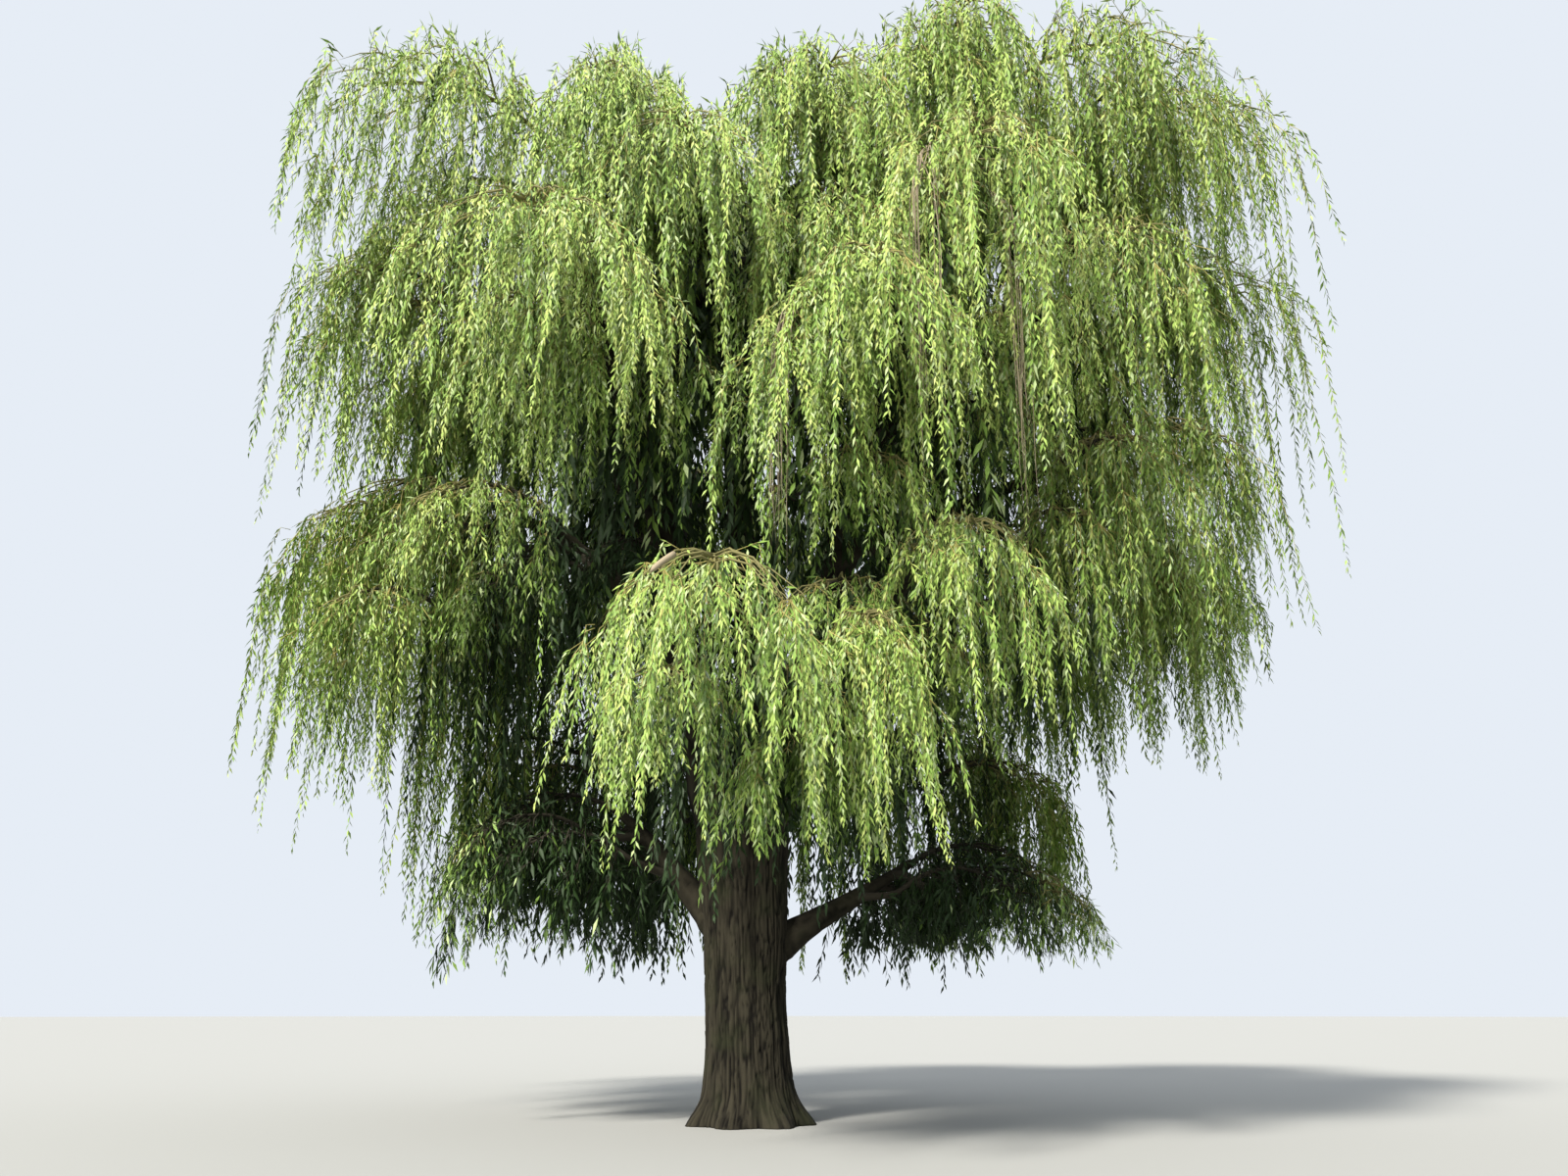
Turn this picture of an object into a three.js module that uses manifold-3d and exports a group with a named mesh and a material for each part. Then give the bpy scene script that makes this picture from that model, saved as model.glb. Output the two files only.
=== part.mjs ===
// A mature weeping willow about 17 m tall. One stout trunk with a root flare carries five leaders
// from its fork and two low boughs, and more boughs arch out of the leaders. Each bough ends in a
// drape: a stem that bends over, arms on both sides of it, and twigs that hang from them with leaf
// blades, each blade standing for a spray of narrow leaves.
// Millimetres, +Z up. The origin is the centre of the flat cut at ground level, -Y is the front of
// the tree and +X is on the right as seen from there.
import * as THREE from "three";
import { mergeVertices } from "three/addons/utils/BufferGeometryUtils.js";
import Module from "manifold-3d";

const METRE = 1000;
const UP = new THREE.Vector3(0, 0, 1);

// Trunk, in metres: radius at each height from the ground to the rounded top of the fork.
const TRUNK_TOP = 4.95;
const TRUNK_LEAN = -0.18; // sideways shift of the top
const TRUNK_SIDES = 20;
const TRUNK_PROFILE = [
  [0, 0.93],
  [0.15, 0.82],
  [0.4, 0.7],
  [0.9, 0.645],
  [1.7, 0.625],
  [2.6, 0.64],
  [3.5, 0.69],
  [4.2, 0.73],
  [4.65, 0.66],
  [TRUNK_TOP, 0.4],
];
const ROOT_RIDGES = 7;
const ROOT_RIDGE_RISE = 0.17; // how far a ridge stands out at the ground, as a share of the radius
const ROOT_RIDGE_HEIGHT = 0.55;
const ROOT_RIDGE_PHASE = 0.6; // radians
const TRUNK_BERTH = 1.2; // radius that twigs keep off, as a share of the trunk's

// Boughs and drapes, in metres and degrees. Each row gives the limb that the bough grows from, the
// share of that limb's length where it starts, the azimuth from +X towards +Y and the reach from the
// axis of the drape's highest point, the heights of that point and of the lowest twig ends, half the
// drape's width, and the bough's radius at its foot.
const LIMBS = {
  top_left: ["trunk", 0.9, 226, 5.6, 15.0, 9.6, 2.2, 0.33],
  top_right: ["trunk", 0.91, 313, 6.4, 15.2, 10.0, 1.8, 0.36],
  crown: ["trunk", 0.93, 70, 1.6, 17.0, 11.4, 2.2, 0.28],
  top_back_left: ["trunk", 0.87, 138, 5.8, 15.3, 8.6, 2.1, 0.31],
  top_back_right: ["trunk", 0.88, 40, 6.2, 15.5, 8.8, 2.1, 0.31],
  low_right: ["trunk", 0.46, 14, 3.6, 4.2, 2.5, 1.15, 0.26],
  low_left: ["trunk", 0.52, 168, 3.2, 5, 2.1, 1.1, 0.26],
  left_shoulder: ["top_left", 0.48, 192, 5.8, 14.2, 7.8, 1.5, 0.18],
  left_front: ["top_left", 0.38, 249, 6.6, 11.3, 7.3, 1.6, 0.18],
  left_low: ["top_left", 0.24, 221, 4.8, 8.9, 6.2, 0.8, 0.13],
  left_side: ["top_left", 0.3, 178, 5.7, 10.4, 3.2, 1.6, 0.19],
  front_low: ["top_left", 0.12, 267, 6.3, 6.6, 2.6, 1.45, 0.17],
  centre_top: ["crown", 0.6, 279, 4.9, 14.5, 9.4, 1.3, 0.15],
  centre_high: ["crown", 0.7, 296, 5.4, 15.2, 10.8, 1.3, 0.13],
  centre_back: ["crown", 0.5, 262, 5.5, 13.0, 7.4, 1.3, 0.15],
  centre_front: ["crown", 0.38, 281, 6.8, 10.3, 6.4, 1.0, 0.14],
  far_right_top: ["top_right", 0.66, 336, 7.1, 15.9, 10.4, 1.4, 0.15],
  right_shoulder: ["top_right", 0.52, 346, 7.1, 13.6, 7.2, 1.4, 0.18],
  right_front: ["top_right", 0.56, 292, 7.3, 12.0, 7.0, 1.1, 0.14],
  right_middle: ["top_right", 0.46, 307, 7.1, 11.4, 7.1, 1.1, 0.15],
  right_curtain: ["top_right", 0.34, 331, 6.5, 9.9, 4.7, 1.05, 0.17],
  right_low: ["top_right", 0.2, 295, 6.0, 7.4, 4.1, 0.85, 0.13],
  front_small: ["top_right", 0.1, 285, 5.4, 6.3, 2.7, 0.5, 0.11],
  back_left: ["top_back_left", 0.44, 155, 6.8, 11.2, 4.6, 2.1, 0.19],
  back: ["top_back_left", 0.4, 102, 6.6, 13.2, 6.0, 2.1, 0.19],
  back_low: ["top_back_left", 0.16, 122, 5.2, 7.2, 2.1, 1.9, 0.16],
  back_right: ["top_back_right", 0.44, 58, 7.0, 11.6, 4.8, 2.1, 0.19],
  right_side: ["top_back_right", 0.34, 17, 6.8, 10.4, 5.0, 1.7, 0.18],
  back_right_low: ["top_back_right", 0.16, 50, 5.4, 7.0, 2.4, 1.8, 0.15],
};
const FORK_SHARE = 0.8; // a bough that leaves the trunk above this share is a leader
const FORK_SPREAD = 0.22; // how far a leader's foot stands off the trunk's axis
const LEADER_LEAN = 1.35;
const LEADER_DETAIL = 7; // sides, and lengths between rings
// Every other bough starts in a mix of its source's own direction, straight out, and up.
const START_ALONG = 0.45;
const START_OUT = 0.9;
const START_UP = 0.15;
const BOUGH_DETAIL = 5;
const FIRST_HANDLE = 0.36; // handles of a bough's curve, as shares of the distance it spans
const LAST_HANDLE = 0.3;
const FOOT_SWELL = 0.25;
const SWELL_FADE = 10;
const TIP_RADIUS = 0.06;
const SOURCE_SHARE = 0.8; // thickest foot, as a share of the source's radius there

// Drapes, in metres.
const APEX_SHARE = 0.45; // where along the stem its highest point lies
const STEM_CLIMB = 0.15; // rise from the bough's tip to that point, as a share of the stem's span
const SPAN_BASE = 1.1;
const SPAN_PER_HALF = 0.85;
const ARM_STATIONS = [0.2, 0.48, 0.76]; // shares of the stem's length where two arms leave it
const ARM_TURN_FIRST = 78; // degrees between the stem and an arm at the stem's foot
const ARM_TURN_LESS = 50; // and how many fewer at its end
const ARM_TURN_PLAY = [-7, 7];
const ARM_LENGTH = 1.05; // of the longest arm, as a share of half the drape's width
const ARM_LENGTH_LESS = 0.35; // how much shorter an arm at either end of the stem is
const ARM_LENGTH_PLAY = [0.85, 1.15];
const ARM_LIFT = 0.25; // slope in which an arm starts to climb
const ARM_FALL = [0.55, 0.8]; // how far its end lies below its foot, as a share of its length
const ARM_CURL = 1.8; // power by which it turns down
const SWING = 0.3; // how far a hanging twig swings out
const SWING_DROP = 0.45; // and the drop in which it does most of that
const STEM_DROP = [0.8, 1]; // reach of the stem's end, as a share of the way to the lowest twig ends
const ARM_DROP = [0.6, 1];
const BEND_SHARE = 0.15; // of a hanging twig's drop: where it has turned down
const TWIG_SHARE = 0.7; // and where it ends in its last leaf
const STEM_RADII = [0.056, 0.056, 0.054, 0.052, 0.046, 0.03, 0.018]; // at its foot, stations and bends
const ARM_RADII = [0.034, 0.026, 0.018];
const LEAF_WIDTH = 0.58;
const LEAF_THICKNESS = 0.11;
const LEAF_BROADEST = 0.42; // share of a leaf's length
const END_LEAF_PLACE = 0.4; // root of the leaf that ends a twig, along its straight part
const ARM_LEAF_PLACE = 0.5; // root of the leaf that hangs from an arm, along the arm
const ARM_LEAF_DROP = [0.5, 0.75]; // its reach, as a share of the way to the lowest twig ends
const LEAF_YAW = [-0.9, 0.9]; // turn of a leaf's face away from straight out, in radians

// First counts for the numbers that vary from twig to twig, so that no two uses share a number.
const TURN_SEED = 0;
const LENGTH_SEED = 20;
const FALL_SEED = 40;
const DROP_SEED = 60;
const LEAF_DROP_SEED = 80;
const END_YAW_SEED = 100;
const ARM_YAW_SEED = 120;

const CLEARANCE = 0.0003; // between solids that meet
const SPARE = 0.03; // between solids that pass each other
const FUSED_TOLERANCE = 0.0015; // largest move of a surface where thin triangles are merged in a drape
const SAME_POINT = 1e-5;
const TINY = 1e-9;
const STEEP = 0.9; // a path at least this close to upright has its first ring start at +X

const BARK = new THREE.MeshStandardMaterial({ color: 0x6b6152, roughness: 0.95, metalness: 0 });
const FOLIAGE = new THREE.MeshStandardMaterial({ color: 0x7f9a44, roughness: 0.7, metalness: 0 });

const wasm = await Module();
wasm.setup();

// A repeatable number from 0 to 1 for each pair of counts.
function chance(first, second) {
  const wave = Math.sin(first * 12.9898 + second * 78.233) * 43758.5453;
  return wave - Math.floor(wave);
}

// A repeatable number in a range, for one twig or leaf of a limb.
function between([low, high], limb, seed) {
  return low + (high - low) * chance(limb.order, seed);
}

function along(start, direction, distance) {
  return start.clone().addScaledVector(direction, distance);
}

// Closed solid around a path: a cylinder whose rings are moved to the path's points.
// radiusAt gives the radius of a ring, and may vary with the angle round it.
function sweep(points, tangents, radiusAt, sides) {
  const segments = points.length - 1;
  const geometry = new THREE.CylinderGeometry(1, 1, 1, sides, segments);
  const normals = [];
  let normal = Math.abs(tangents[0].z) > STEEP ? new THREE.Vector3(1, 0, 0) : UP.clone();
  for (const tangent of tangents) {
    normal = normal.clone().addScaledVector(tangent, -normal.dot(tangent)).normalize();
    normals.push(normal);
  }
  const position = geometry.getAttribute("position");
  for (let index = 0; index < position.count; index++) {
    const ring = Math.round((0.5 - position.getY(index)) * segments);
    const across = position.getX(index);
    const beside = position.getZ(index);
    const turn = Math.atan2(beside, across);
    const reach = Math.hypot(across, beside) * radiusAt(ring, turn);
    const binormal = new THREE.Vector3().crossVectors(tangents[ring], normals[ring]);
    const place = along(points[ring], normals[ring], reach * Math.cos(turn));
    place.addScaledVector(binormal, reach * Math.sin(turn));
    position.setXYZ(index, place.x, place.y, place.z);
  }
  return geometry;
}

function solidOf(geometry) {
  geometry.deleteAttribute("normal");
  geometry.deleteAttribute("uv");
  const merged = mergeVertices(geometry, SAME_POINT);
  const vertProperties = Float32Array.from(merged.getAttribute("position").array);
  const triVerts = Uint32Array.from(merged.getIndex().array);
  return new wasm.Manifold(new wasm.Mesh({ numProp: 3, vertProperties, triVerts }));
}

// The largest connected piece of a solid, as a named mesh in millimetres.
function meshOf(name, solid, material) {
  const pieces = solid.decompose();
  pieces.sort((first, second) => second.volume() - first.volume());
  const { vertProperties, triVerts } = pieces[0].getMesh();
  const geometry = new THREE.BufferGeometry();
  geometry.setAttribute("position", new THREE.BufferAttribute(Float32Array.from(vertProperties), 3));
  geometry.setIndex(new THREE.BufferAttribute(Uint32Array.from(triVerts), 1));
  geometry.scale(METRE, METRE, METRE);
  const mesh = new THREE.Mesh(geometry, material);
  mesh.name = name;
  return mesh;
}

// Space that each node takes, as a list of capsules, so that nothing grows through another node.
const taken = [];

function distanceBetween(startA, endA, startB, endB) {
  const runA = new THREE.Vector3().subVectors(endA, startA);
  const runB = new THREE.Vector3().subVectors(endB, startB);
  const offset = new THREE.Vector3().subVectors(startA, startB);
  const lengthA = Math.max(runA.lengthSq(), TINY);
  const lengthB = Math.max(runB.lengthSq(), TINY);
  const mix = runA.dot(runB);
  const toA = runA.dot(offset);
  const toB = runB.dot(offset);
  const spread = lengthA * lengthB - mix * mix;
  let shareA = spread > TINY ? (mix * toB - toA * lengthB) / spread : 0;
  shareA = THREE.MathUtils.clamp(shareA, 0, 1);
  const shareB = THREE.MathUtils.clamp((mix * shareA + toB) / lengthB, 0, 1);
  shareA = THREE.MathUtils.clamp((mix * shareB - toA) / lengthA, 0, 1);
  return along(startA, runA, shareA).distanceTo(along(startB, runB, shareB));
}

function isFree(owner, start, end, radius) {
  return taken.every(
    (other) =>
      other.owner === owner ||
      distanceBetween(start, end, other.start, other.end) > radius + other.radius + SPARE
  );
}

function take(owner, points, radiusAt) {
  for (let ring = 1; ring < points.length; ring++) {
    const radius = Math.max(radiusAt(ring - 1), radiusAt(ring));
    taken.push({ owner, start: points[ring - 1], end: points[ring], radius });
  }
}

// Trunk
function trunkRadius(height) {
  const ring = Math.max(1, TRUNK_PROFILE.findIndex(([level]) => level >= height));
  const [lowHeight, lowRadius] = TRUNK_PROFILE[ring - 1];
  const [highHeight, highRadius] = TRUNK_PROFILE[ring];
  return THREE.MathUtils.mapLinear(height, lowHeight, highHeight, lowRadius, highRadius);
}

function makeTrunk() {
  const top = new THREE.Vector3(TRUNK_LEAN, 0, TRUNK_TOP);
  const curve = new THREE.LineCurve3(new THREE.Vector3(), top);
  const points = TRUNK_PROFILE.map(([height]) => curve.getPoint(height / TRUNK_TOP));
  const tangents = points.map(() => UP);
  const radiusAt = (share) => trunkRadius(share * TRUNK_TOP);
  const geometryWith = (margin) => {
    const ringRadius = (ring, angle) => {
      const [height, radius] = TRUNK_PROFILE[ring];
      const fade = Math.max(0, 1 - height / ROOT_RIDGE_HEIGHT);
      const ridge = fade * Math.cos(ROOT_RIDGES * angle + ROOT_RIDGE_PHASE);
      return radius * (1 + ROOT_RIDGE_RISE * ridge) + margin;
    };
    return sweep(points, tangents, ringRadius, TRUNK_SIDES);
  };
  take("trunk", points, (ring) => TRUNK_PROFILE[ring][1] * TRUNK_BERTH);
  return { curve, radiusAt, geometryWith };
}

// Boughs
function makeBough(name, row, order, limbs) {
  const [sourceName, at, azimuth, reach, top, hem, half, girth] = row;
  const source = limbs[sourceName];
  const angle = THREE.MathUtils.degToRad(azimuth);
  const apex = new THREE.Vector3(reach * Math.cos(angle), reach * Math.sin(angle), top);
  const foot = source.curve.getPoint(at);
  const outward = new THREE.Vector3(apex.x - foot.x, apex.y - foot.y, 0).normalize();
  const span = SPAN_BASE + SPAN_PER_HALF * half;
  const climb = STEM_CLIMB * span;
  const tip = along(apex, outward, -APEX_SHARE * span).addScaledVector(UP, -climb);
  const tipDirection = along(outward, UP, (2 * climb) / (APEX_SHARE * span)).normalize();
  const isLeader = sourceName === "trunk" && at > FORK_SHARE;
  const footDirection = new THREE.Vector3();
  if (isLeader) {
    foot.addScaledVector(outward, FORK_SPREAD);
    footDirection.copy(UP).addScaledVector(outward, (LEADER_LEAN * reach) / (top - foot.z));
  } else {
    footDirection.copy(source.curve.getTangent(at)).multiplyScalar(START_ALONG);
    footDirection.addScaledVector(outward, START_OUT).addScaledVector(UP, START_UP);
  }
  footDirection.normalize();
  const length = foot.distanceTo(tip);
  const bendOut = along(foot, footDirection, FIRST_HANDLE * length);
  const bendIn = along(tip, tipDirection, -LAST_HANDLE * length);
  const curve = new THREE.CubicBezierCurve3(foot, bendOut, bendIn, tip);
  const footRadius = Math.min(girth, SOURCE_SHARE * source.radiusAt(at));
  const radiusAt = (share) =>
    THREE.MathUtils.lerp(footRadius, TIP_RADIUS, share) * (1 + FOOT_SWELL * Math.exp(-SWELL_FADE * share));
  const detail = isLeader ? LEADER_DETAIL : BOUGH_DETAIL;
  const points = curve.getPoints(detail);
  const tangents = points.map((_, ring) => curve.getTangent(ring / detail));
  tangents[detail] = tipDirection;
  const geometryWith = (margin) =>
    sweep(points, tangents, (ring) => radiusAt(ring / detail) + margin, detail);
  const limb = { name, order, curve, radiusAt, geometryWith };
  Object.assign(limb, { outward, span, climb, tip, tipDirection, hem, half });
  limb.capsules = points.slice(1).map((end, ring) => ({
    start: points[ring],
    end,
    radius: radiusAt(ring / detail),
  }));
  take(`bough_${name}`, points, (ring) => radiusAt(ring / detail));
  return limb;
}

function limbsMeet(first, second) {
  return first.capsules.some((one) =>
    second.capsules.some(
      (other) => distanceBetween(one.start, one.end, other.start, other.end) < one.radius + other.radius
    )
  );
}

// The bough's tube, cut clear of the trunk and of each bough made before it.
function boughMesh(limb, trunk, earlier) {
  let solid = solidOf(limb.geometryWith(0));
  solid = solid.subtract(solidOf(trunk.geometryWith(CLEARANCE)));
  for (const other of earlier) {
    if (limbsMeet(limb, other)) {
      solid = solid.subtract(solidOf(other.geometryWith(CLEARANCE)));
    }
  }
  return meshOf(`bough_${limb.name}`, solid, BARK);
}

// Drapes
function stemPoint(limb, share) {
  const arch = 1 - ((share - APEX_SHARE) / APEX_SHARE) ** 2;
  return along(limb.tip, limb.outward, limb.span * share).addScaledVector(UP, limb.climb * arch);
}

function armsOf(limb) {
  const sideways = new THREE.Vector3(-limb.outward.y, limb.outward.x, 0);
  return ARM_STATIONS.flatMap((station, place) =>
    [1, -1].map((side) => {
      const count = place * 2 + (side > 0 ? 0 : 1);
      const play = between(ARM_TURN_PLAY, limb, TURN_SEED + count);
      const turn = THREE.MathUtils.degToRad(ARM_TURN_FIRST - ARM_TURN_LESS * station + play);
      const heading = limb.outward.clone().multiplyScalar(Math.cos(turn));
      heading.addScaledVector(sideways, side * Math.sin(turn));
      const size = ARM_LENGTH - ARM_LENGTH_LESS * Math.abs(2 * station - 1);
      const length = limb.half * size * between(ARM_LENGTH_PLAY, limb, LENGTH_SEED + count);
      const fall = between(ARM_FALL, limb, FALL_SEED + count);
      return { start: stemPoint(limb, station), heading, length, fall };
    })
  );
}

function armPoint(arm, share) {
  const lift = ARM_LIFT * share - (ARM_LIFT + arm.fall) * share ** ARM_CURL;
  return along(arm.start, arm.heading, arm.length * share).addScaledVector(UP, arm.length * lift);
}

function hangingPoint(start, heading, drop, share) {
  const swing = SWING * (1 - Math.exp((-share * drop) / SWING_DROP));
  return along(start, heading, swing).addScaledVector(UP, -drop * share);
}

function tangentsOf(points, first) {
  return points.map((point, index) => {
    if (index === 0 && first) {
      return first;
    }
    const before = points[Math.max(0, index - 1)];
    const after = points[Math.min(points.length - 1, index + 1)];
    return new THREE.Vector3().subVectors(after, before).normalize();
  });
}

function leafGeometry(root, tip, facing) {
  const direction = new THREE.Vector3().subVectors(tip, root);
  const length = direction.length();
  direction.normalize();
  const face = facing.clone().addScaledVector(direction, -facing.dot(direction)).normalize();
  const side = new THREE.Vector3().crossVectors(face, direction);
  const geometry = new THREE.OctahedronGeometry(1);
  const position = geometry.getAttribute("position");
  for (let index = 0; index < position.count; index++) {
    const lengthwise = position.getZ(index);
    const share = Math.abs(lengthwise) < 0.5 ? LEAF_BROADEST : (1 + lengthwise) / 2;
    const place = along(root, direction, length * share);
    place.addScaledVector(side, (position.getX(index) * LEAF_WIDTH) / 2);
    place.addScaledVector(face, (position.getY(index) * LEAF_THICKNESS) / 2);
    position.setXYZ(index, place.x, place.y, place.z);
  }
  return geometry;
}

// A twig of a drape: a tapering tube along its points.
function addTwig(drape, points, radii, sides, firstTangent) {
  const radiusAt = (ring) => radii[ring];
  drape.geometries.push(sweep(points, tangentsOf(points, firstTangent), radiusAt, sides));
  take(drape.owner, points, radiusAt);
}

function twigIsFree(drape, points, radius) {
  return points.slice(1).every((end, ring) => isFree(drape.owner, points[ring], end, radius));
}

// The two ends of a hanging twig's straight part, and the height that its last leaf reaches down to.
function hangerFrom(limb, start, heading, count, dropRange) {
  const drop = (start.z - limb.hem) * between(dropRange, limb, DROP_SEED + count);
  const bend = hangingPoint(start, heading, drop, BEND_SHARE);
  const end = hangingPoint(start, heading, drop, TWIG_SHARE);
  return { bend, end, count, lowest: start.z - drop };
}

// The stem carries on from the bough's tip, arches over and hangs down at its end.
function addStem(drape) {
  const { limb } = drape;
  const foot = along(limb.tip, limb.tipDirection, CLEARANCE);
  const over = stemPoint(limb, 1);
  const stations = ARM_STATIONS.map((station) => stemPoint(limb, station));
  const hanger = hangerFrom(limb, over, limb.outward, ARM_STATIONS.length * 2, STEM_DROP);
  addTwig(drape, [foot, ...stations, over, hanger.bend, hanger.end], STEM_RADII, 4, limb.tipDirection);
  drape.hangers.push(hanger);
}

// An arm leaves the stem, droops and hangs down at its end.
function addArm(drape, arm, count) {
  const hanger = hangerFrom(drape.limb, armPoint(arm, 1), arm.heading, count, ARM_DROP);
  const points = [arm.start, hanger.bend, hanger.end];
  if (twigIsFree(drape, points, ARM_RADII[0])) {
    addTwig(drape, points, ARM_RADII, 3, null);
    drape.hangers.push(hanger);
    drape.arms.push({ start: arm.start, end: hanger.bend, count });
  }
}

// A leaf is left out where it would reach below the drape, or touch another limb, twig or leaf.
function addLeaf(drape, root, tip, facing) {
  const width = LEAF_WIDTH / 2;
  const crossesOwn = drape.leaves.some((leaf) => distanceBetween(root, tip, leaf.root, leaf.tip) < width);
  if (tip.z > drape.limb.hem - SPARE && !crossesOwn && isFree(drape.owner, root, tip, width)) {
    drape.geometries.push(leafGeometry(root, tip, facing));
    drape.leaves.push({ root, tip });
    taken.push({ owner: drape.owner, start: root, end: tip, radius: width });
  }
}

function outwardFacing(place, limb, seed) {
  const yaw = Math.atan2(place.y, place.x) + between(LEAF_YAW, limb, seed);
  return new THREE.Vector3(Math.cos(yaw), Math.sin(yaw), 0);
}

// The leaf that ends a hanging twig: the twig's end lies inside it.
function addEndLeaf(drape, hanger) {
  const root = new THREE.Vector3().lerpVectors(hanger.bend, hanger.end, END_LEAF_PLACE);
  const tip = new THREE.Vector3(hanger.end.x, hanger.end.y, hanger.lowest);
  addLeaf(drape, root, tip, outwardFacing(root, drape.limb, END_YAW_SEED + hanger.count));
}

// A leaf that hangs straight from an arm.
function addArmLeaf(drape, arm) {
  const root = new THREE.Vector3().lerpVectors(arm.start, arm.end, ARM_LEAF_PLACE);
  const share = between(ARM_LEAF_DROP, drape.limb, LEAF_DROP_SEED + arm.count);
  const tip = along(root, UP, (drape.limb.hem - root.z) * share);
  addLeaf(drape, root, tip, outwardFacing(root, drape.limb, ARM_YAW_SEED + arm.count));
}

function makeDrapes(limbs) {
  const drapes = limbs.map((limb) => ({
    limb,
    owner: `foliage_${limb.name}`,
    geometries: [],
    hangers: [],
    arms: [],
    leaves: [],
  }));
  drapes.forEach(addStem);
  drapes.forEach((drape) => armsOf(drape.limb).forEach((arm, count) => addArm(drape, arm, count)));
  drapes.forEach((drape) => drape.hangers.forEach((hanger) => addEndLeaf(drape, hanger)));
  drapes.forEach((drape) => drape.arms.forEach((arm) => addArmLeaf(drape, arm)));
  return drapes;
}

function drapeMesh(drape) {
  const solid = wasm.Manifold.union(drape.geometries.map(solidOf)).simplify(FUSED_TOLERANCE);
  return meshOf(drape.owner, solid, FOLIAGE);
}

const tree = new THREE.Group();
const trunk = makeTrunk();
tree.add(meshOf("trunk", solidOf(trunk.geometryWith(0)), BARK));
const sources = { trunk };
const boughs = [];
for (const [name, row] of Object.entries(LIMBS)) {
  const limb = makeBough(name, row, boughs.length + 1, sources);
  tree.add(boughMesh(limb, trunk, boughs));
  sources[name] = limb;
  boughs.push(limb);
}
makeDrapes(boughs).forEach((drape) => tree.add(drapeMesh(drape)));

export default tree;
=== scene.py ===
import collections
import math

import bpy
import numpy as np
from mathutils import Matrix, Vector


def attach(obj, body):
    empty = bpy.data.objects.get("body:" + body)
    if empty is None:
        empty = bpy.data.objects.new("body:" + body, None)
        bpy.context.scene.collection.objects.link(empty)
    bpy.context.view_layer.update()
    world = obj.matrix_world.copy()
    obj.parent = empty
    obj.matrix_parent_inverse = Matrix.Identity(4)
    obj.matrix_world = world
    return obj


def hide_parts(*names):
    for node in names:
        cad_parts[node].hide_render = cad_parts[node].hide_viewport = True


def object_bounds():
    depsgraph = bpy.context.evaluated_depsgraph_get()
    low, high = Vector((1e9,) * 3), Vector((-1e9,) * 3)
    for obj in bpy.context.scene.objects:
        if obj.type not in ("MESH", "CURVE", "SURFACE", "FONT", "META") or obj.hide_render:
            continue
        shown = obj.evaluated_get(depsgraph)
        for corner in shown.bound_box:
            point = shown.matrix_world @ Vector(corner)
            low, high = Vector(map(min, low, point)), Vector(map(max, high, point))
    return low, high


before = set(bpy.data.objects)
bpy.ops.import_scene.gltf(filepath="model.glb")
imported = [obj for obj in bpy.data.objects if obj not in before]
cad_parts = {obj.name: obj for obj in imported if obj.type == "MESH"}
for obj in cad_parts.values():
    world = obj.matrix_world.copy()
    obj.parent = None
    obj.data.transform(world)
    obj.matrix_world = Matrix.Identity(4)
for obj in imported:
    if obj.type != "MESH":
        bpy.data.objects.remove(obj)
cad_low, cad_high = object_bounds()

bl_info = {
    "name": "Weeping Willow",
    "version": (1, 0, 0),
    "blender": (4, 5, 0),
    "location": "3D View > Sidebar > Willow",
    "description": "Grows bark, twigs and leaves on the limbs of a mature weeping willow",
    "category": "Add Mesh",
}

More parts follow.
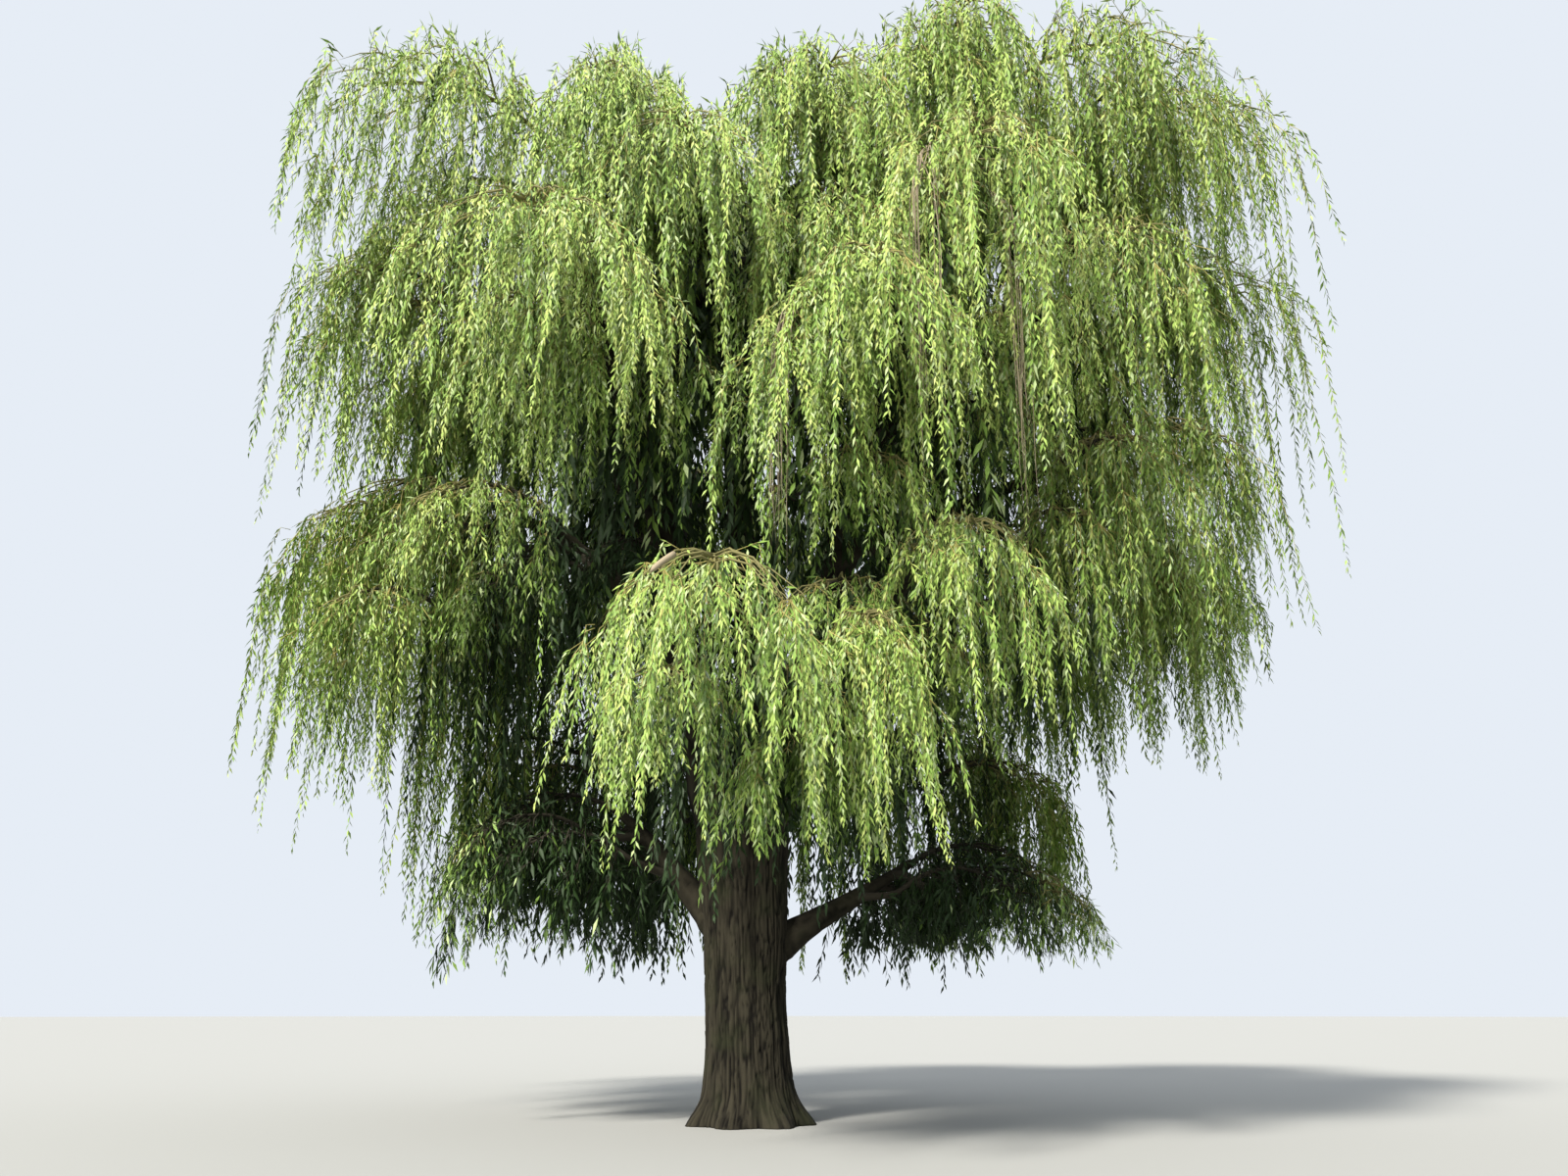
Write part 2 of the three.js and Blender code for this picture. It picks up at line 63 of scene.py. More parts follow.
# The limbs grow by the same rule and the same rows as the solids: the limb that the bough grows from,
# the share of that limb's length where it starts, azimuth and reach of the drape's highest point, the
# heights of that point and of the lowest twig ends, half the drape's width, and the bough's radius.
LIMBS = {
    "top_left": ("trunk", 0.9, 226, 5.6, 15.0, 9.6, 2.2, 0.33),
    "top_right": ("trunk", 0.91, 313, 6.4, 15.2, 10.0, 1.8, 0.36),
    "crown": ("trunk", 0.93, 70, 1.6, 17.0, 11.4, 2.2, 0.28),
    "top_back_left": ("trunk", 0.87, 138, 5.8, 15.3, 8.6, 2.1, 0.31),
    "top_back_right": ("trunk", 0.88, 40, 6.2, 15.5, 8.8, 2.1, 0.31),
    "low_right": ("trunk", 0.46, 14, 3.6, 4.2, 2.5, 1.15, 0.26),
    "low_left": ("trunk", 0.52, 168, 3.2, 5.0, 2.1, 1.1, 0.26),
    "left_shoulder": ("top_left", 0.48, 192, 5.8, 14.2, 7.8, 1.5, 0.18),
    "left_front": ("top_left", 0.38, 249, 6.6, 11.3, 7.3, 1.6, 0.18),
    "left_low": ("top_left", 0.24, 221, 4.8, 8.9, 6.2, 0.8, 0.13),
    "left_side": ("top_left", 0.3, 178, 5.7, 10.4, 3.2, 1.6, 0.19),
    "front_low": ("top_left", 0.12, 267, 6.3, 6.6, 2.6, 1.45, 0.17),
    "centre_top": ("crown", 0.6, 279, 4.9, 14.5, 9.4, 1.3, 0.15),
    "centre_high": ("crown", 0.7, 296, 5.4, 15.2, 10.8, 1.3, 0.13),
    "centre_back": ("crown", 0.5, 262, 5.5, 13.0, 7.4, 1.3, 0.15),
    "centre_front": ("crown", 0.38, 281, 6.8, 10.3, 6.4, 1.0, 0.14),
    "far_right_top": ("top_right", 0.66, 336, 7.1, 15.9, 10.4, 1.4, 0.15),
    "right_shoulder": ("top_right", 0.52, 346, 7.1, 13.6, 7.2, 1.4, 0.18),
    "right_front": ("top_right", 0.56, 292, 7.3, 12.0, 7.0, 1.1, 0.14),
    "right_middle": ("top_right", 0.46, 307, 7.1, 11.4, 7.1, 1.1, 0.15),
    "right_curtain": ("top_right", 0.34, 331, 6.5, 9.9, 4.7, 1.05, 0.17),
    "right_low": ("top_right", 0.2, 295, 6.0, 7.4, 4.1, 0.85, 0.13),
    "front_small": ("top_right", 0.1, 285, 5.4, 6.3, 2.7, 0.5, 0.11),
    "back_left": ("top_back_left", 0.44, 155, 6.8, 11.2, 4.6, 2.1, 0.19),
    "back": ("top_back_left", 0.4, 102, 6.6, 13.2, 6.0, 2.1, 0.19),
    "back_low": ("top_back_left", 0.16, 122, 5.2, 7.2, 2.1, 1.9, 0.16),
    "back_right": ("top_back_right", 0.44, 58, 7.0, 11.6, 4.8, 2.1, 0.19),
    "right_side": ("top_back_right", 0.34, 17, 6.8, 10.4, 5.0, 1.7, 0.18),
    "back_right_low": ("top_back_right", 0.16, 50, 5.4, 7.0, 2.4, 1.8, 0.15),
}
# Each part of the crown is one piece of leaves and one of twigs.
CROWN_PARTS = {
    "left_upper": ("top_left", "left_shoulder", "left_front", "left_low"),
    "left_lower": ("left_side", "front_low", "low_left"),
    "crown": ("crown", "centre_high", "far_right_top"),
    "centre": ("centre_top", "centre_back", "centre_front"),
    "right_upper": ("top_right", "right_shoulder", "right_front"),
    "right_lower": ("right_middle", "right_curtain", "right_low", "front_small", "low_right"),
    "back_left": ("top_back_left", "back_left"),
    "back": ("back", "back_low"),
    "back_right": ("top_back_right", "back_right"),
    "right_side": ("right_side", "back_right_low"),
}
# Leaders with room between them, and drapes that stand alone at the front, before bare boughs.
WIDE_LEADERS = ("top_left", "top_right", "top_back_left", "top_back_right")
OPEN_SIDED = (
    "left_front",
    "left_low",
    "front_low",
    "front_small",
    "centre_front",
    "right_front",
    "right_middle",
    "right_low",
)

# Stage: the camera's place, how far it looks up and its lens, the key light, and the floor.
CAMERA_PLACE = (0.51, -20.3, 1.6)
CAMERA_TILT = 18.5
CAMERA_LENS = 29.0
CAMERA_SENSOR = 36
CAMERA_FAR = 1000
SUN_PLACE = (-12, -16, 22)
SUN_TURN = (51, 0, -31)
SUN_WIDTH = 9
SUN_COLOUR = (1, 0.96, 0.88)
FLOOR_RADIUS = 400
FLOOR_SIDES = 96

# Bare dead twigs in the drapes: the limb and the arm that they hang from, and how low they reach.
DEAD_TWIGS = (("right_front", 0, 6.2), ("right_front", 3, 6.3), ("centre_front", 1, 5.8))
DEAD_COUNT = 11
DEAD_SHARES = (0.6, 1)  # where on the arm they hang
DEAD_TURNS = (-1.5, 1.5)
DEAD_SWINGS = (0.1, 0.3)
DEAD_LIFT = 0.3  # as a share of how far they swing out
DEAD_FALLS = (0.6, 1)
DEAD_PULL = (0.2, 0.9)
DEAD_RADII = (0.008, 0.004)
STUB_ARM = ("front_low", 5)  # a broken end on one arm
STUB_SHARES = np.linspace(0.55, 0.86, 6)
STUB_RADII = (0.04, 0.032)
STUB_SIDES = 9

# Trunk: radius at each height, lean of its top, and the ridges that run into the roots.
TRUNK_TOP = 4.95
TRUNK_LEAN = -0.18
TRUNK_HEIGHTS = (0, 0.15, 0.4, 0.9, 1.7, 2.6, 3.5, 4.2, 4.65, 4.95)
TRUNK_RADII = (0.93, 0.82, 0.7, 0.645, 0.625, 0.64, 0.69, 0.73, 0.66, 0.4)
ROOT_RIDGES = 7
ROOT_RIDGE_RISE = 0.11
ROOT_RIDGE_HEIGHT = 0.55
ROOT_RIDGE_PHASE = 0.6
ROOT_RIDGE_FADE = 1.5
ROUNDING_STEPS = np.linspace(-0.12, 0.12, 5)  # the bends of its outline are rounded over these

# Bark: rings and sides of each mesh, lumps (how many round the limb, how close along it, and how high),
# furrows, grain and moss.
TRUNK_GRID = (190, 250)
LEADER_GRID = (230, 30)
BOUGH_GRID = (90, 14)
TRUNK_LUMPS = (6, 1.1, 0.07)
TRUNK_GIRTH = 4.1
TRUNK_SEEDS = (3, 1)
BOUGH_LUMPS = (3, 1.2, 0.22)  # their height is a share of the bough's radius
BOUGH_FURROWS = 0.6  # width and depth of a bough's furrows, as a share of the trunk's
THICK_BOUGH = 0.3  # radius from which a bough's furrows have their full depth
FURROW_SIZES = ((0.56, 1), (0.44, 0.5))  # share of the depth that broad and fine furrows make, and size
FURROW_LENGTH = 9  # length of a furrow for each width
FURROW_DRIFT = (2, 0.6)  # how far furrows wander along the limb, and how often
RIDGE_SHARE = 0.42
FURROW_LEVEL = 0.35  # depth at which the bark lies on the limb's own radius
TRUNK_MOSS = 0.5
BOUGH_MOSS = 0.35
MOSS_SPREAD = (0.5, 0.72)
MOSS_PATCHES = {"Scale": 1.6, "Detail": 4}
BARK_GRAIN = {"Scale": 26, "Detail": 6, "Roughness": 0.65}
GRAIN_STRETCH = (1, 1, 0.25)
GRAIN_SHADE = 0.5
GRAIN_BUMP = {"Strength": 0.5, "Distance": 0.01}
RIDGE_TONE_TO = 0.2
SEAM_GAP = 1e-5  # points closer than this are one

# Roughness and specular level of each finish
LEAF_FINISH = (0.55, 0.3)
BARK_FINISH = (0.95, 0.15)
ARM_FINISH = (0.7, 0.3)
SHOOT_FINISH = (0.6, 0.35)
SIDE_BOUGH_FINISH = (0.9, 0.25)
DEAD_FINISH = (0.8, 0.25)
FLOOR_FINISH = (0.9, 0.2)

# Boughs: where they start, how they bend, and how thick they are, as in the solids.
FORK_SHARE = 0.8
FORK_SPREAD = 0.22
LEADER_LEAN = 1.35
START_ALONG = 0.45
START_OUT = 0.9
START_UP = 0.15
FIRST_HANDLE = 0.36
LAST_HANDLE = 0.3
FOOT_SWELL = 0.25
SWELL_FADE = 10
TIP_RADIUS = 0.06
SOURCE_SHARE = 0.8
COLLAR_SWELL = 0.33  # how much thicker a bough is where it comes out of its source, as a share
COLLAR_LENGTH = 0.35

# Drapes: the arching stem and the arms on both sides of it, as in the solids.
APEX_SHARE = 0.45
STEM_CLIMB = 0.15
SPAN_BASE = 1.1
SPAN_PER_HALF = 0.85
ARM_STATIONS = (0.2, 0.48, 0.76)
FINE_STATIONS = (0.06, 0.13, 0.29, 0.38, 0.57, 0.66, 0.85, 0.94)  # arms between those of the solids
ARM_TURN_FIRST = 78
ARM_TURN_LESS = 50
ARM_TURN_PLAY = (-7, 7)
ARM_LENGTH = 1.05
ARM_LENGTH_LESS = 0.35
ARM_LENGTH_PLAY = (0.85, 1.15)
TIP_ARM_LENGTH = 0.6  # of the arm that goes straight on from the stem's end, as a share of the same
ARM_LIFT = 0.25
ARM_FALL = (0.55, 0.8)
ARM_CURL = 1.8
TURN_SEED = 0
LENGTH_SEED = 20
FALL_SEED = 40

# Side boughs, which fill the crown between the drapes of the solids: the share of the bough where each
# leaves it, how far to a side it turns, and its reach as a share of the bough's.
SIDE_BOUGHS = ((0.45, 1, 0.86), (0.6, -1, 0.9), (0.74, 1, 1.0), (0.86, -1, 0.97))
LEADER_BOUGHS = ((0.7, 0.6, 0.62), (0.8, -0.6, 0.56))  # more of them, which close the crown's top
LEADER_RISE = 0.7
LEADER_HEM_RISE = 0.3  # as a share of the height of the leader's drape
MIDDLE_BOUGHS = ((0.5, 2.1, 2.0), (0.5, -1.35, 2.0), (0.62, 3.6, 1.3))  # more, over the fork
MIDDLE_RISE = -1.3
BACKING_BOUGHS = ((0.5, 0.35, 0.62), (0.72, -0.35, 0.8))  # those behind a drape that stands alone
SIDE_STEP = (0.5, 1.0)  # how far beside the bough's own drape: this share of its half, and this more
SIDE_TURN_PLAY = (0.85, 1.15)
SIDE_REACH_PLAY = (0.94, 1.06)
SIDE_LOWER = (0.02, 0.38)  # how far its top lies below the bough's, as a share of the bough's drape
LEADER_LOWER = 0.4  # and how much of that on a leader, whose side boughs stand higher
SIDE_HEM_LOWER = (-0.12, 0.12)  # how far its lowest twig ends lie below the bough's, as such a share
LONG_HEM_LOWER = (-0.12, 0.3)  # the same on these boughs, whose side drapes close the crown's far side
LONG_HEMMED = ("left_side", "back_left", "back", "back_low", "back_right", "back_right_low")
SIDE_HALF = (0.6, 0.95)
SIDE_GIRTH = 0.09
SIDE_STATIONS = (0.35, 0.62, 0.9)  # stations of the arms on top of those of the solids
LOWEST_HEM = 1.9

# Shoots: the fine twigs that hang from the arms. Each kind draws from these spans how far it turns aside
# (for those of an arm, a mean and a deviation), swings out, rises and then falls, and how deep its own
# painted shade is, which darkens its leaf colours and bark. Falls are in metres for spurs and sprays, and
# otherwise shares of the way to the hem.
Spans = collections.namedtuple("Spans", "turns swings lifts falls shades")
FROM_ARM = Spans((0, 0.75), (0.12, 0.42), (0.1, 0.4), (0.25, 1), (0, 0.45))
FROM_STEM = Spans((-2.2, 2.2), (0.15, 0.6), (0.1, 0.4), (0.4, 1), (0, 0.5))
FROM_BOUGH = Spans((-math.pi, math.pi), (0.2, 1.2), (0.1, 0.6), (0.5, 1), (0.7, 1))
SPURS = Spans((-1.8, 1.8), (0.12, 0.32), (0.15, 0.45), (0.15, 0.7), (0, 0.3))
SPRAYS = Spans((-1.6, 1.6), (0.12, 0.45), (0.05, 0.25), (0.5, 1.6), (0, 0.35))

# Long shoots, from arms and stems
ARM_BARE = 0.12  # share of an arm that they leave bare at its start
LONG_BIAS = 0.8  # a power under 1: more of them hang near an arm's end, and more of them are long
LEAST_FALL = 0.5  # of those of an arm
HIGH_SHARE = 0.1  # share of these that rise higher, and by how much
HIGH_LIFT = 0.3
FOOT_SHADE = 0.3  # how much deeper the painted shade of their leaves and bark is at an arm's start
STEM_SHOOTS = 2.4  # times as many on each metre of a stem as of an arm
MIDDLE_SPAN = 2.2  # of a drape whose arms carry the stated number of them: broader ones carry more
BROAD_LIMITS = (0.9, 1.35)
TRESS_SIZE = 0.62  # those that hang in one square of a grid this wide draw together into a tress
TRESS_PLAY = 0.3  # how far its axis may stand off the square's middle, as a share of that
TRESS_REACH = (0.55, 1)  # shares of the way to the hem that tresses reach
TRESS_PULL = (0.35, 0.85)

# Short shoots, which clothe arms and stems, and sprays of them on the upper half of long ones
STEM_SPURS = 2.9  # times as many for each metre of a stem as on one of an arm, spread over the stem
STEM_CLOTHED_FROM = -0.5  # and this last share of the bough
STEM_SPUR_TURNS = (-2.6, 2.6)
TUFT_HEIGHTS = (5, 6.3, 10, 14.5)  # tops of drapes on which they grow this many times as long
TUFT_SCALES = (1.5, 1, 1, 1.8)
TUFT_COUNTS = (2, 1, 1, 2)  # and stand this many times as close on the arms
SPRAY_SHARE = 0.24  # share of the long shoots that carry a spray
SPRAY_SHOOTS = 5
SPRAY_PLACES = (0.1, 0.55)

# Shoots inside the crown, with painted shade in their leaf colours and bark
INNER_START = 0.2  # share of a bough's length from which they hang
LOW_LIMBS = ("low_right", "low_left")
LOW_INNER_START = 0.06  # the same on the low limbs, which they clothe from the trunk on
INNER_FALL = 1.5  # least height to the hem that they hang by a share of
LENGTH_STEPS = 9  # points that a bough's length is measured over

# Course of a shoot: how many points it has and how much closer they stand at its start, and how it falls.
LONG_COURSE = (5, 1.25)
FINE_COURSE = (4, 1.25)
SPUR_COURSE = (3, 2.3)
SWING_DROP = 0.45  # it swings out over about this much of its fall,
LIFT_DROP = 0.2  # and rises over about this much
PULL_EASE = 1.4
POINT_OUT = (0, 0.12)
SWAY = (0.015, 0.06)
SWAY_TURNS = (1.7, 1.3)
SIDE_MARGIN = 0.3  # how far it may stand outside the solids' box
LIMB_ROOM = 0.05  # shoots that pass a limb closer than this are left out,
TRUNK_ROOM = 0.95  # and those that pass the trunk's middle closer than this
AXIS_SHARES = np.linspace(0, 1, 40)

# Shade of the crown, painted into the colours of leaves and twigs, and how the size of leaves follows it
SHADE_REACH = 5.2  # the crown's shade lies nearer to the trunk than this,
SHADE_TOP = 12.5  # and lower than this
SHADE_FADE = 2
SHADE_DEPTH = 0.95
OPEN_LIGHT = 0.14  # how much less painted shade the drapes have that stand alone at the front
SUNLIT_SCALE = 0.88  # leaves in full light are finer, and grow broader with the depth of shade
SHADE_GROWTH = 0.45
LEAF_SCALE_HEIGHTS = (6, 15)  # tops of the drapes with the finest and the broadest leaves
LEAF_SCALES = (0.88, 1.02)
FRONT_BACK_SCALES = (0.92, 1.3)

# Twigs: radii at both ends, sides, and points along them
STEM_RADII = (0.05, 0.018)
SIDE_RADII = (0.085, 0.016)
ARM_RADII = (0.02, 0.007)
SHOOT_TAPER = 0.3
STEM_SIDES = 6
ARM_SIDES = 4
SHOOT_SIDES = 3
STEM_SHARES = np.linspace(0, 1, 8)
BOUGH_SHARES = np.linspace(0, 0.92, 10)
ARM_POINTS = 5
ARM_WANDER = 0.02
SHADED_BARK_FROM = 0.55  # twigs deeper in shade than this have the dark bark, as painted shade
ARM_BARK, SHOOT_BARK, SHADED_BARK = range(3)  # order of the twigs' materials; the last is dark bark for side boughs and for painted shade

# Leaves stand in a spiral round the shoot, lean towards its tip, droop, and are folded in the middle.
LEAF_BARE = (0.04, 0.2)  # length of a shoot that stays bare at its start
LEAF_PLACE_PLAY = (0, 0.9)  # how far on a leaf may stand, in gaps between leaves
LAST_PLACE = 0.999
LEAF_TURN = 2.4
LEAF_TURN_PLAY = (-0.6, 0.6)
SHOOT_TURN_PLAY = (0, 6)
LEAF_SPREAD = (0.2, 0.8)
LEAF_DROOP = 0.3
LEAF_SIZES = (0.7, 1.15)
SMALL_LEAVES = 0.2  # last share of a shoot, along which leaves grow smaller
SMALL_LESS = 0.4
BROAD_PLAY = 0.4  # how much of the play in a leaf's length its width has too
FACE_OUT = 0.35  # how much a leaf faces away from its shoot, upwards and by chance
FACE_UP = 0.5
FACE_PLAY = 0.4
WIDEST_AT = 0.4
LEAF_FOLD = 0.22

# Leaf colours run from 0, the yellowest, to 4, the deepest, and then comes the underside. These say how far
# painted shade (depth), painted light from above (height in the crown), place on the shoot and chance move
# a leaf along them.
TINTS = 5
TINT_START = 0.36
TINT_DEPTH = 0.62
TINT_HEIGHT = 0.22
TINT_PLACE = 0.1
YOUNG_LEAVES = 0.15  # last share of a shoot, where they are young
SPRAY_TINT_PLAY = (-0.16, 0.16)
LEAF_TINT_PLAY = 0.1
UNDERSIDE_SHARE = 0.16

# Steps of the repeatable chance that the solids use too
CHANCE_STEPS = (12.9898, 78.233)
CHANCE_HEIGHT = 43758.5453
ORDER_STEP = 37.719
UP = np.array((0.0, 0.0, 1.0))
TINY = 1e-9

growth_seed = np.random.default_rng(17)


class Limb:
    """A bough with the drape that it ends in."""

    def __init__(self, name, row, order, sources):
        source_name, at, azimuth, reach, top, self.hem, self.half, girth = row
        self.azimuth, self.reach, self.top = azimuth, reach, top
        self.name = name
        self.order = order
        self.stations = ARM_STATIONS + FINE_STATIONS
        turn = math.radians(azimuth)
        apex = np.array((reach * math.cos(turn), reach * math.sin(turn), top))
        foot, source_direction, source_radius = source_at(sources.get(source_name), at)
        self.outward = unit((apex - foot) * (1, 1, 0))
        self.span = SPAN_BASE + SPAN_PER_HALF * self.half
        self.climb = STEM_CLIMB * self.span
        self.tip = apex - self.outward * APEX_SHARE * self.span - UP * self.climb
        slope = 2 * self.climb / (APEX_SHARE * self.span)
        tip_direction = unit(self.outward + UP * slope)
        self.is_leader = source_name == "trunk" and at > FORK_SHARE
        if self.is_leader:
            foot = foot + self.outward * FORK_SPREAD
            foot_direction = unit(UP + self.outward * LEADER_LEAN * reach / (top - foot[2]))
        else:
            mixed = source_direction * START_ALONG + self.outward * START_OUT + UP * START_UP
            foot_direction = unit(mixed)
        distance = np.linalg.norm(self.tip - foot)
        handles = (FIRST_HANDLE * distance * foot_direction, LAST_HANDLE * distance * tip_direction)
        self.bends = (foot, foot + handles[0], self.tip - handles[1], self.tip)
        self.foot_radius = min(girth, SOURCE_SHARE * source_radius)
        self.buried = source_radius
        # less painted shade on the drapes that stand alone at the front
        self.light = OPEN_LIGHT if name in OPEN_SIDED else 0
        self.leaf_scale = np.interp(top, LEAF_SCALE_HEIGHTS, LEAF_SCALES)
        self.leaf_scale *= np.interp(math.sin(turn), (-1, 1), FRONT_BACK_SCALES)

    def points(self, shares):
        """Points on the bough's axis."""
        share = np.asarray(shares, dtype=float)[..., None]
        first, second, third, last = self.bends
        rest = 1 - share
        near = first * rest**3 + 3 * second * rest**2 * share
        return near + 3 * third * rest * share**2 + last * share**3

    def radii(self, shares):
        """Radius of the bough, which swells where it leaves its source."""
        share = np.asarray(shares, dtype=float)
        taper = self.foot_radius + (TIP_RADIUS - self.foot_radius) * share
        return taper * (1 + FOOT_SWELL * np.exp(-SWELL_FADE * share))

    def stem_points(self, shares):
        """Points on the stem that arches on from the bough's tip."""
        share = np.asarray(shares, dtype=float)[..., None]
        arch = 1 - ((share - APEX_SHARE) / APEX_SHARE) ** 2
        return self.tip + self.outward * self.span * share + UP * self.climb * arch


def unit(vector):
    return vector / np.maximum(np.linalg.norm(vector, axis=-1, keepdims=True), TINY)


def square_to(axis, vector):
    """Direction of a vector, turned square to a unit axis."""
    return unit(vector - axis * (vector * axis).sum(axis=-1, keepdims=True))


def drawn(span, count):
    """Random numbers in a span. The same seed and order of draws give the same tree each run."""
    return growth_seed.uniform(*span, count)


def between(span, order, seed):
    """A repeatable number in a span for each pair of order and seed, as in the solids."""
    low, high = span
    wave = math.sin(order * CHANCE_STEPS[0] + seed * CHANCE_STEPS[1]) * CHANCE_HEIGHT
    return low + (high - low) * (wave - math.floor(wave))


def scattered(seeds):
    """A repeatable number from 0 to 1 for each seed of an array."""
    return np.mod(np.sin(seeds) * CHANCE_HEIGHT, 1)


def source_at(source, at):
    """Point, direction and radius of a limb where another leaves it: no limb means the trunk."""
    if source is None:
        top = np.array((TRUNK_LEAN, 0, TRUNK_TOP))
        return top * at, unit(top), np.interp(at * TRUNK_TOP, TRUNK_HEIGHTS, TRUNK_RADII)
    step = 1e-4
    direction = unit(source.points(at + step) - source.points(at - step))
    return source.points(at), direction, float(source.radii(at))


def grow_limbs():
    limbs = {}
    for order, (name, row) in enumerate(LIMBS.items(), start=1):
        limbs[name] = Limb(name, row, order, limbs)
    return limbs


def side_boughs_of(limb, limbs):
    """Thinner boughs on both sides of a bough, each with a small drape of its own."""
    grown = []
    rows = BACKING_BOUGHS if limb.name in OPEN_SIDED else SIDE_BOUGHS
    if limb.name in WIDE_LEADERS:
        rows = SIDE_BOUGHS + LEADER_BOUGHS
    if limb.name == "crown":
        rows = SIDE_BOUGHS + MIDDLE_BOUGHS
    step = math.degrees(math.atan2(SIDE_STEP[0] * limb.half + SIDE_STEP[1], limb.reach))
    height = limb.top - limb.hem
    hem_lower = LONG_HEM_LOWER if limb.name in LONG_HEMMED else SIDE_HEM_LOWER
    for count, (at, side, reach_share) in enumerate(rows):
        order = limb.order + len(LIMBS) * (count + 1)
        reach = limb.reach * reach_share * between(SIDE_REACH_PLAY, order, 1)
        lower = height * between(SIDE_LOWER, order, 2)
        top = limb.top - lower * (LEADER_LOWER if limb.is_leader else 1)
        hem = max(limb.hem - height * between(hem_lower, order, 3), LOWEST_HEM)
        if count >= len(SIDE_BOUGHS) and limb.name == "crown":
            top, hem = limb.top + MIDDLE_RISE, limb.hem
        elif count >= len(SIDE_BOUGHS):
            top, hem = limb.top + LEADER_RISE, limb.hem + LEADER_HEM_RISE * height
        half = between(SIDE_HALF, order, 4)
        azimuth = limb.azimuth + side * step * between(SIDE_TURN_PLAY, order, 5)
        row = (limb.name, at, azimuth, reach, top, hem, half, SIDE_GIRTH)
        bough = Limb(f"{limb.name}_side_{count + 1}", row, order, limbs)
        bough.stations = ARM_STATIONS + SIDE_STATIONS
        grown.append(bough)
    return grown


def arms_of(limb):
    """The arms on both sides of the stem: start, heading, length and fall of each."""
    sideways = np.array((-limb.outward[1], limb.outward[0], 0))
    arms = []
    for place, station in enumerate(limb.stations):
        for count, side in ((2 * place, 1), (2 * place + 1, -1)):
            play = between(ARM_TURN_PLAY, limb.order, TURN_SEED + count)
            turn = math.radians(ARM_TURN_FIRST - ARM_TURN_LESS * station + play)
            heading = limb.outward * math.cos(turn) + sideways * side * math.sin(turn)
            size = ARM_LENGTH - ARM_LENGTH_LESS * abs(2 * station - 1)
            length = limb.half * size * between(ARM_LENGTH_PLAY, limb.order, LENGTH_SEED + count)
            fall = between(ARM_FALL, limb.order, FALL_SEED + count)
            arms.append((limb.stem_points(station), heading, length, fall))
    arms.append((limb.stem_points(1), limb.outward, limb.half * TIP_ARM_LENGTH, ARM_FALL[0]))
    return arms


def arm_points(arm, shares):
    start, heading, length, fall = arm
    share = np.asarray(shares, dtype=float)[..., None]
    lift = ARM_LIFT * share - (ARM_LIFT + fall) * share**ARM_CURL
    return start + heading * length * share + UP * length * lift


# Shoots


class Shoots:
    """Fine hanging twigs: their points, a sideways direction and how deep in painted shade they hang."""

    def __init__(self, rings, ease):
        self.steps = np.linspace(0, 1, rings) ** ease
        self.points = []
        self.sideways = []
        self.depth = []
        self.scale = []

    def add(self, starts, headings, drops, swings, lifts, depth, scale, tress=None):
        """Hang one shoot from each start. A tress's axes and pull draw shoots together as they fall."""
        count = len(starts)
        share = self.steps
        fallen = (drops + lifts)[:, None] * share
        swung = swings[:, None] * (1 - np.exp(-fallen / SWING_DROP))
        points = starts[:, None, :] + headings[:, None, :] * swung[..., None]
        points[..., 2] += lifts[:, None] * (1 - np.exp(-fallen / LIFT_DROP)) - fallen
        if tress:
            axes, pull = tress
            draw = (pull[:, None] * share**PULL_EASE)[..., None]
            points[..., :2] += (axes[:, None, :2] - points[..., :2]) * draw
        phase = drawn((0, 2 * math.pi), (count, 2))
        points[:, -1] += headings * drawn(POINT_OUT, (count, 1))
        sway = drawn(SWAY, (count, 1)) * share
        points[..., 0] += sway * np.sin(phase[:, :1] + SWAY_TURNS[0] * fallen)
        points[..., 1] += sway * np.sin(phase[:, 1:] + SWAY_TURNS[1] * fallen)
        low, high = np.array(cad_low) - SIDE_MARGIN, np.array(cad_high) + SIDE_MARGIN
        self.points.append(np.clip(points, low, high))
        self.sideways.append(np.stack((-headings[:, 1], headings[:, 0], 0 * drops), axis=1))
        # the crown's shade, painted into leaf colours and bark
        depth = depth + SHADE_DEPTH * shade_at(starts)
        self.depth.append(depth)
        self.scale.append(scale * (SUNLIT_SCALE + SHADE_GROWTH * np.minimum(depth, 1)))

    def joined(self):
        return [np.concatenate(kind) for kind in (self.points, self.sideways, self.depth, self.scale)]


def shade_at(places):
    """How far each place lies in the crown's own shade, from 0 to 1, painted into leaf and twig colours."""
    inside = np.clip((SHADE_REACH - np.hypot(places[:, 0], places[:, 1])) / SHADE_FADE, 0, 1)
    return inside * np.clip((SHADE_TOP - places[:, 2]) / SHADE_FADE, 0, 1)


def bark_of(shade, lit_bark):
    """Which bark each twig has: the dark one, as painted shade, where it lies deep in shade."""
    return np.where(shade > SHADED_BARK_FROM, SHADED_BARK, lit_bark)


def turned(headings, angles):
    """Horizontal directions, or one of them, turned about the vertical by each angle."""
    cos, sin = np.cos(angles), np.sin(angles)
    x = headings[..., 0] * cos - headings[..., 1] * sin
    y = headings[..., 0] * sin + headings[..., 1] * cos
    return np.stack((x, y, 0 * x), axis=1)


def tresses_of(limb, places):
    """The axis of the tress that hangs nearest to each place, and how far down each tress reaches."""
    cells = np.floor(places[:, :2] / TRESS_SIZE)
    seeds = cells @ CHANCE_STEPS + limb.order * ORDER_STEP
    chances = [scattered(seeds + turn) for turn in range(3)]
    play = np.stack(chances[:2], axis=1) * 2 - 1
    low, high = TRESS_REACH
    return (cells + 0.5 + TRESS_PLAY * play) * TRESS_SIZE, low + (high - low) * chances[2]


def arched(kind, count):
    """How far shoots of one kind fall, swing out and rise."""
    return [drawn(span, count) for span in (kind.falls, kind.swings, kind.lifts)]


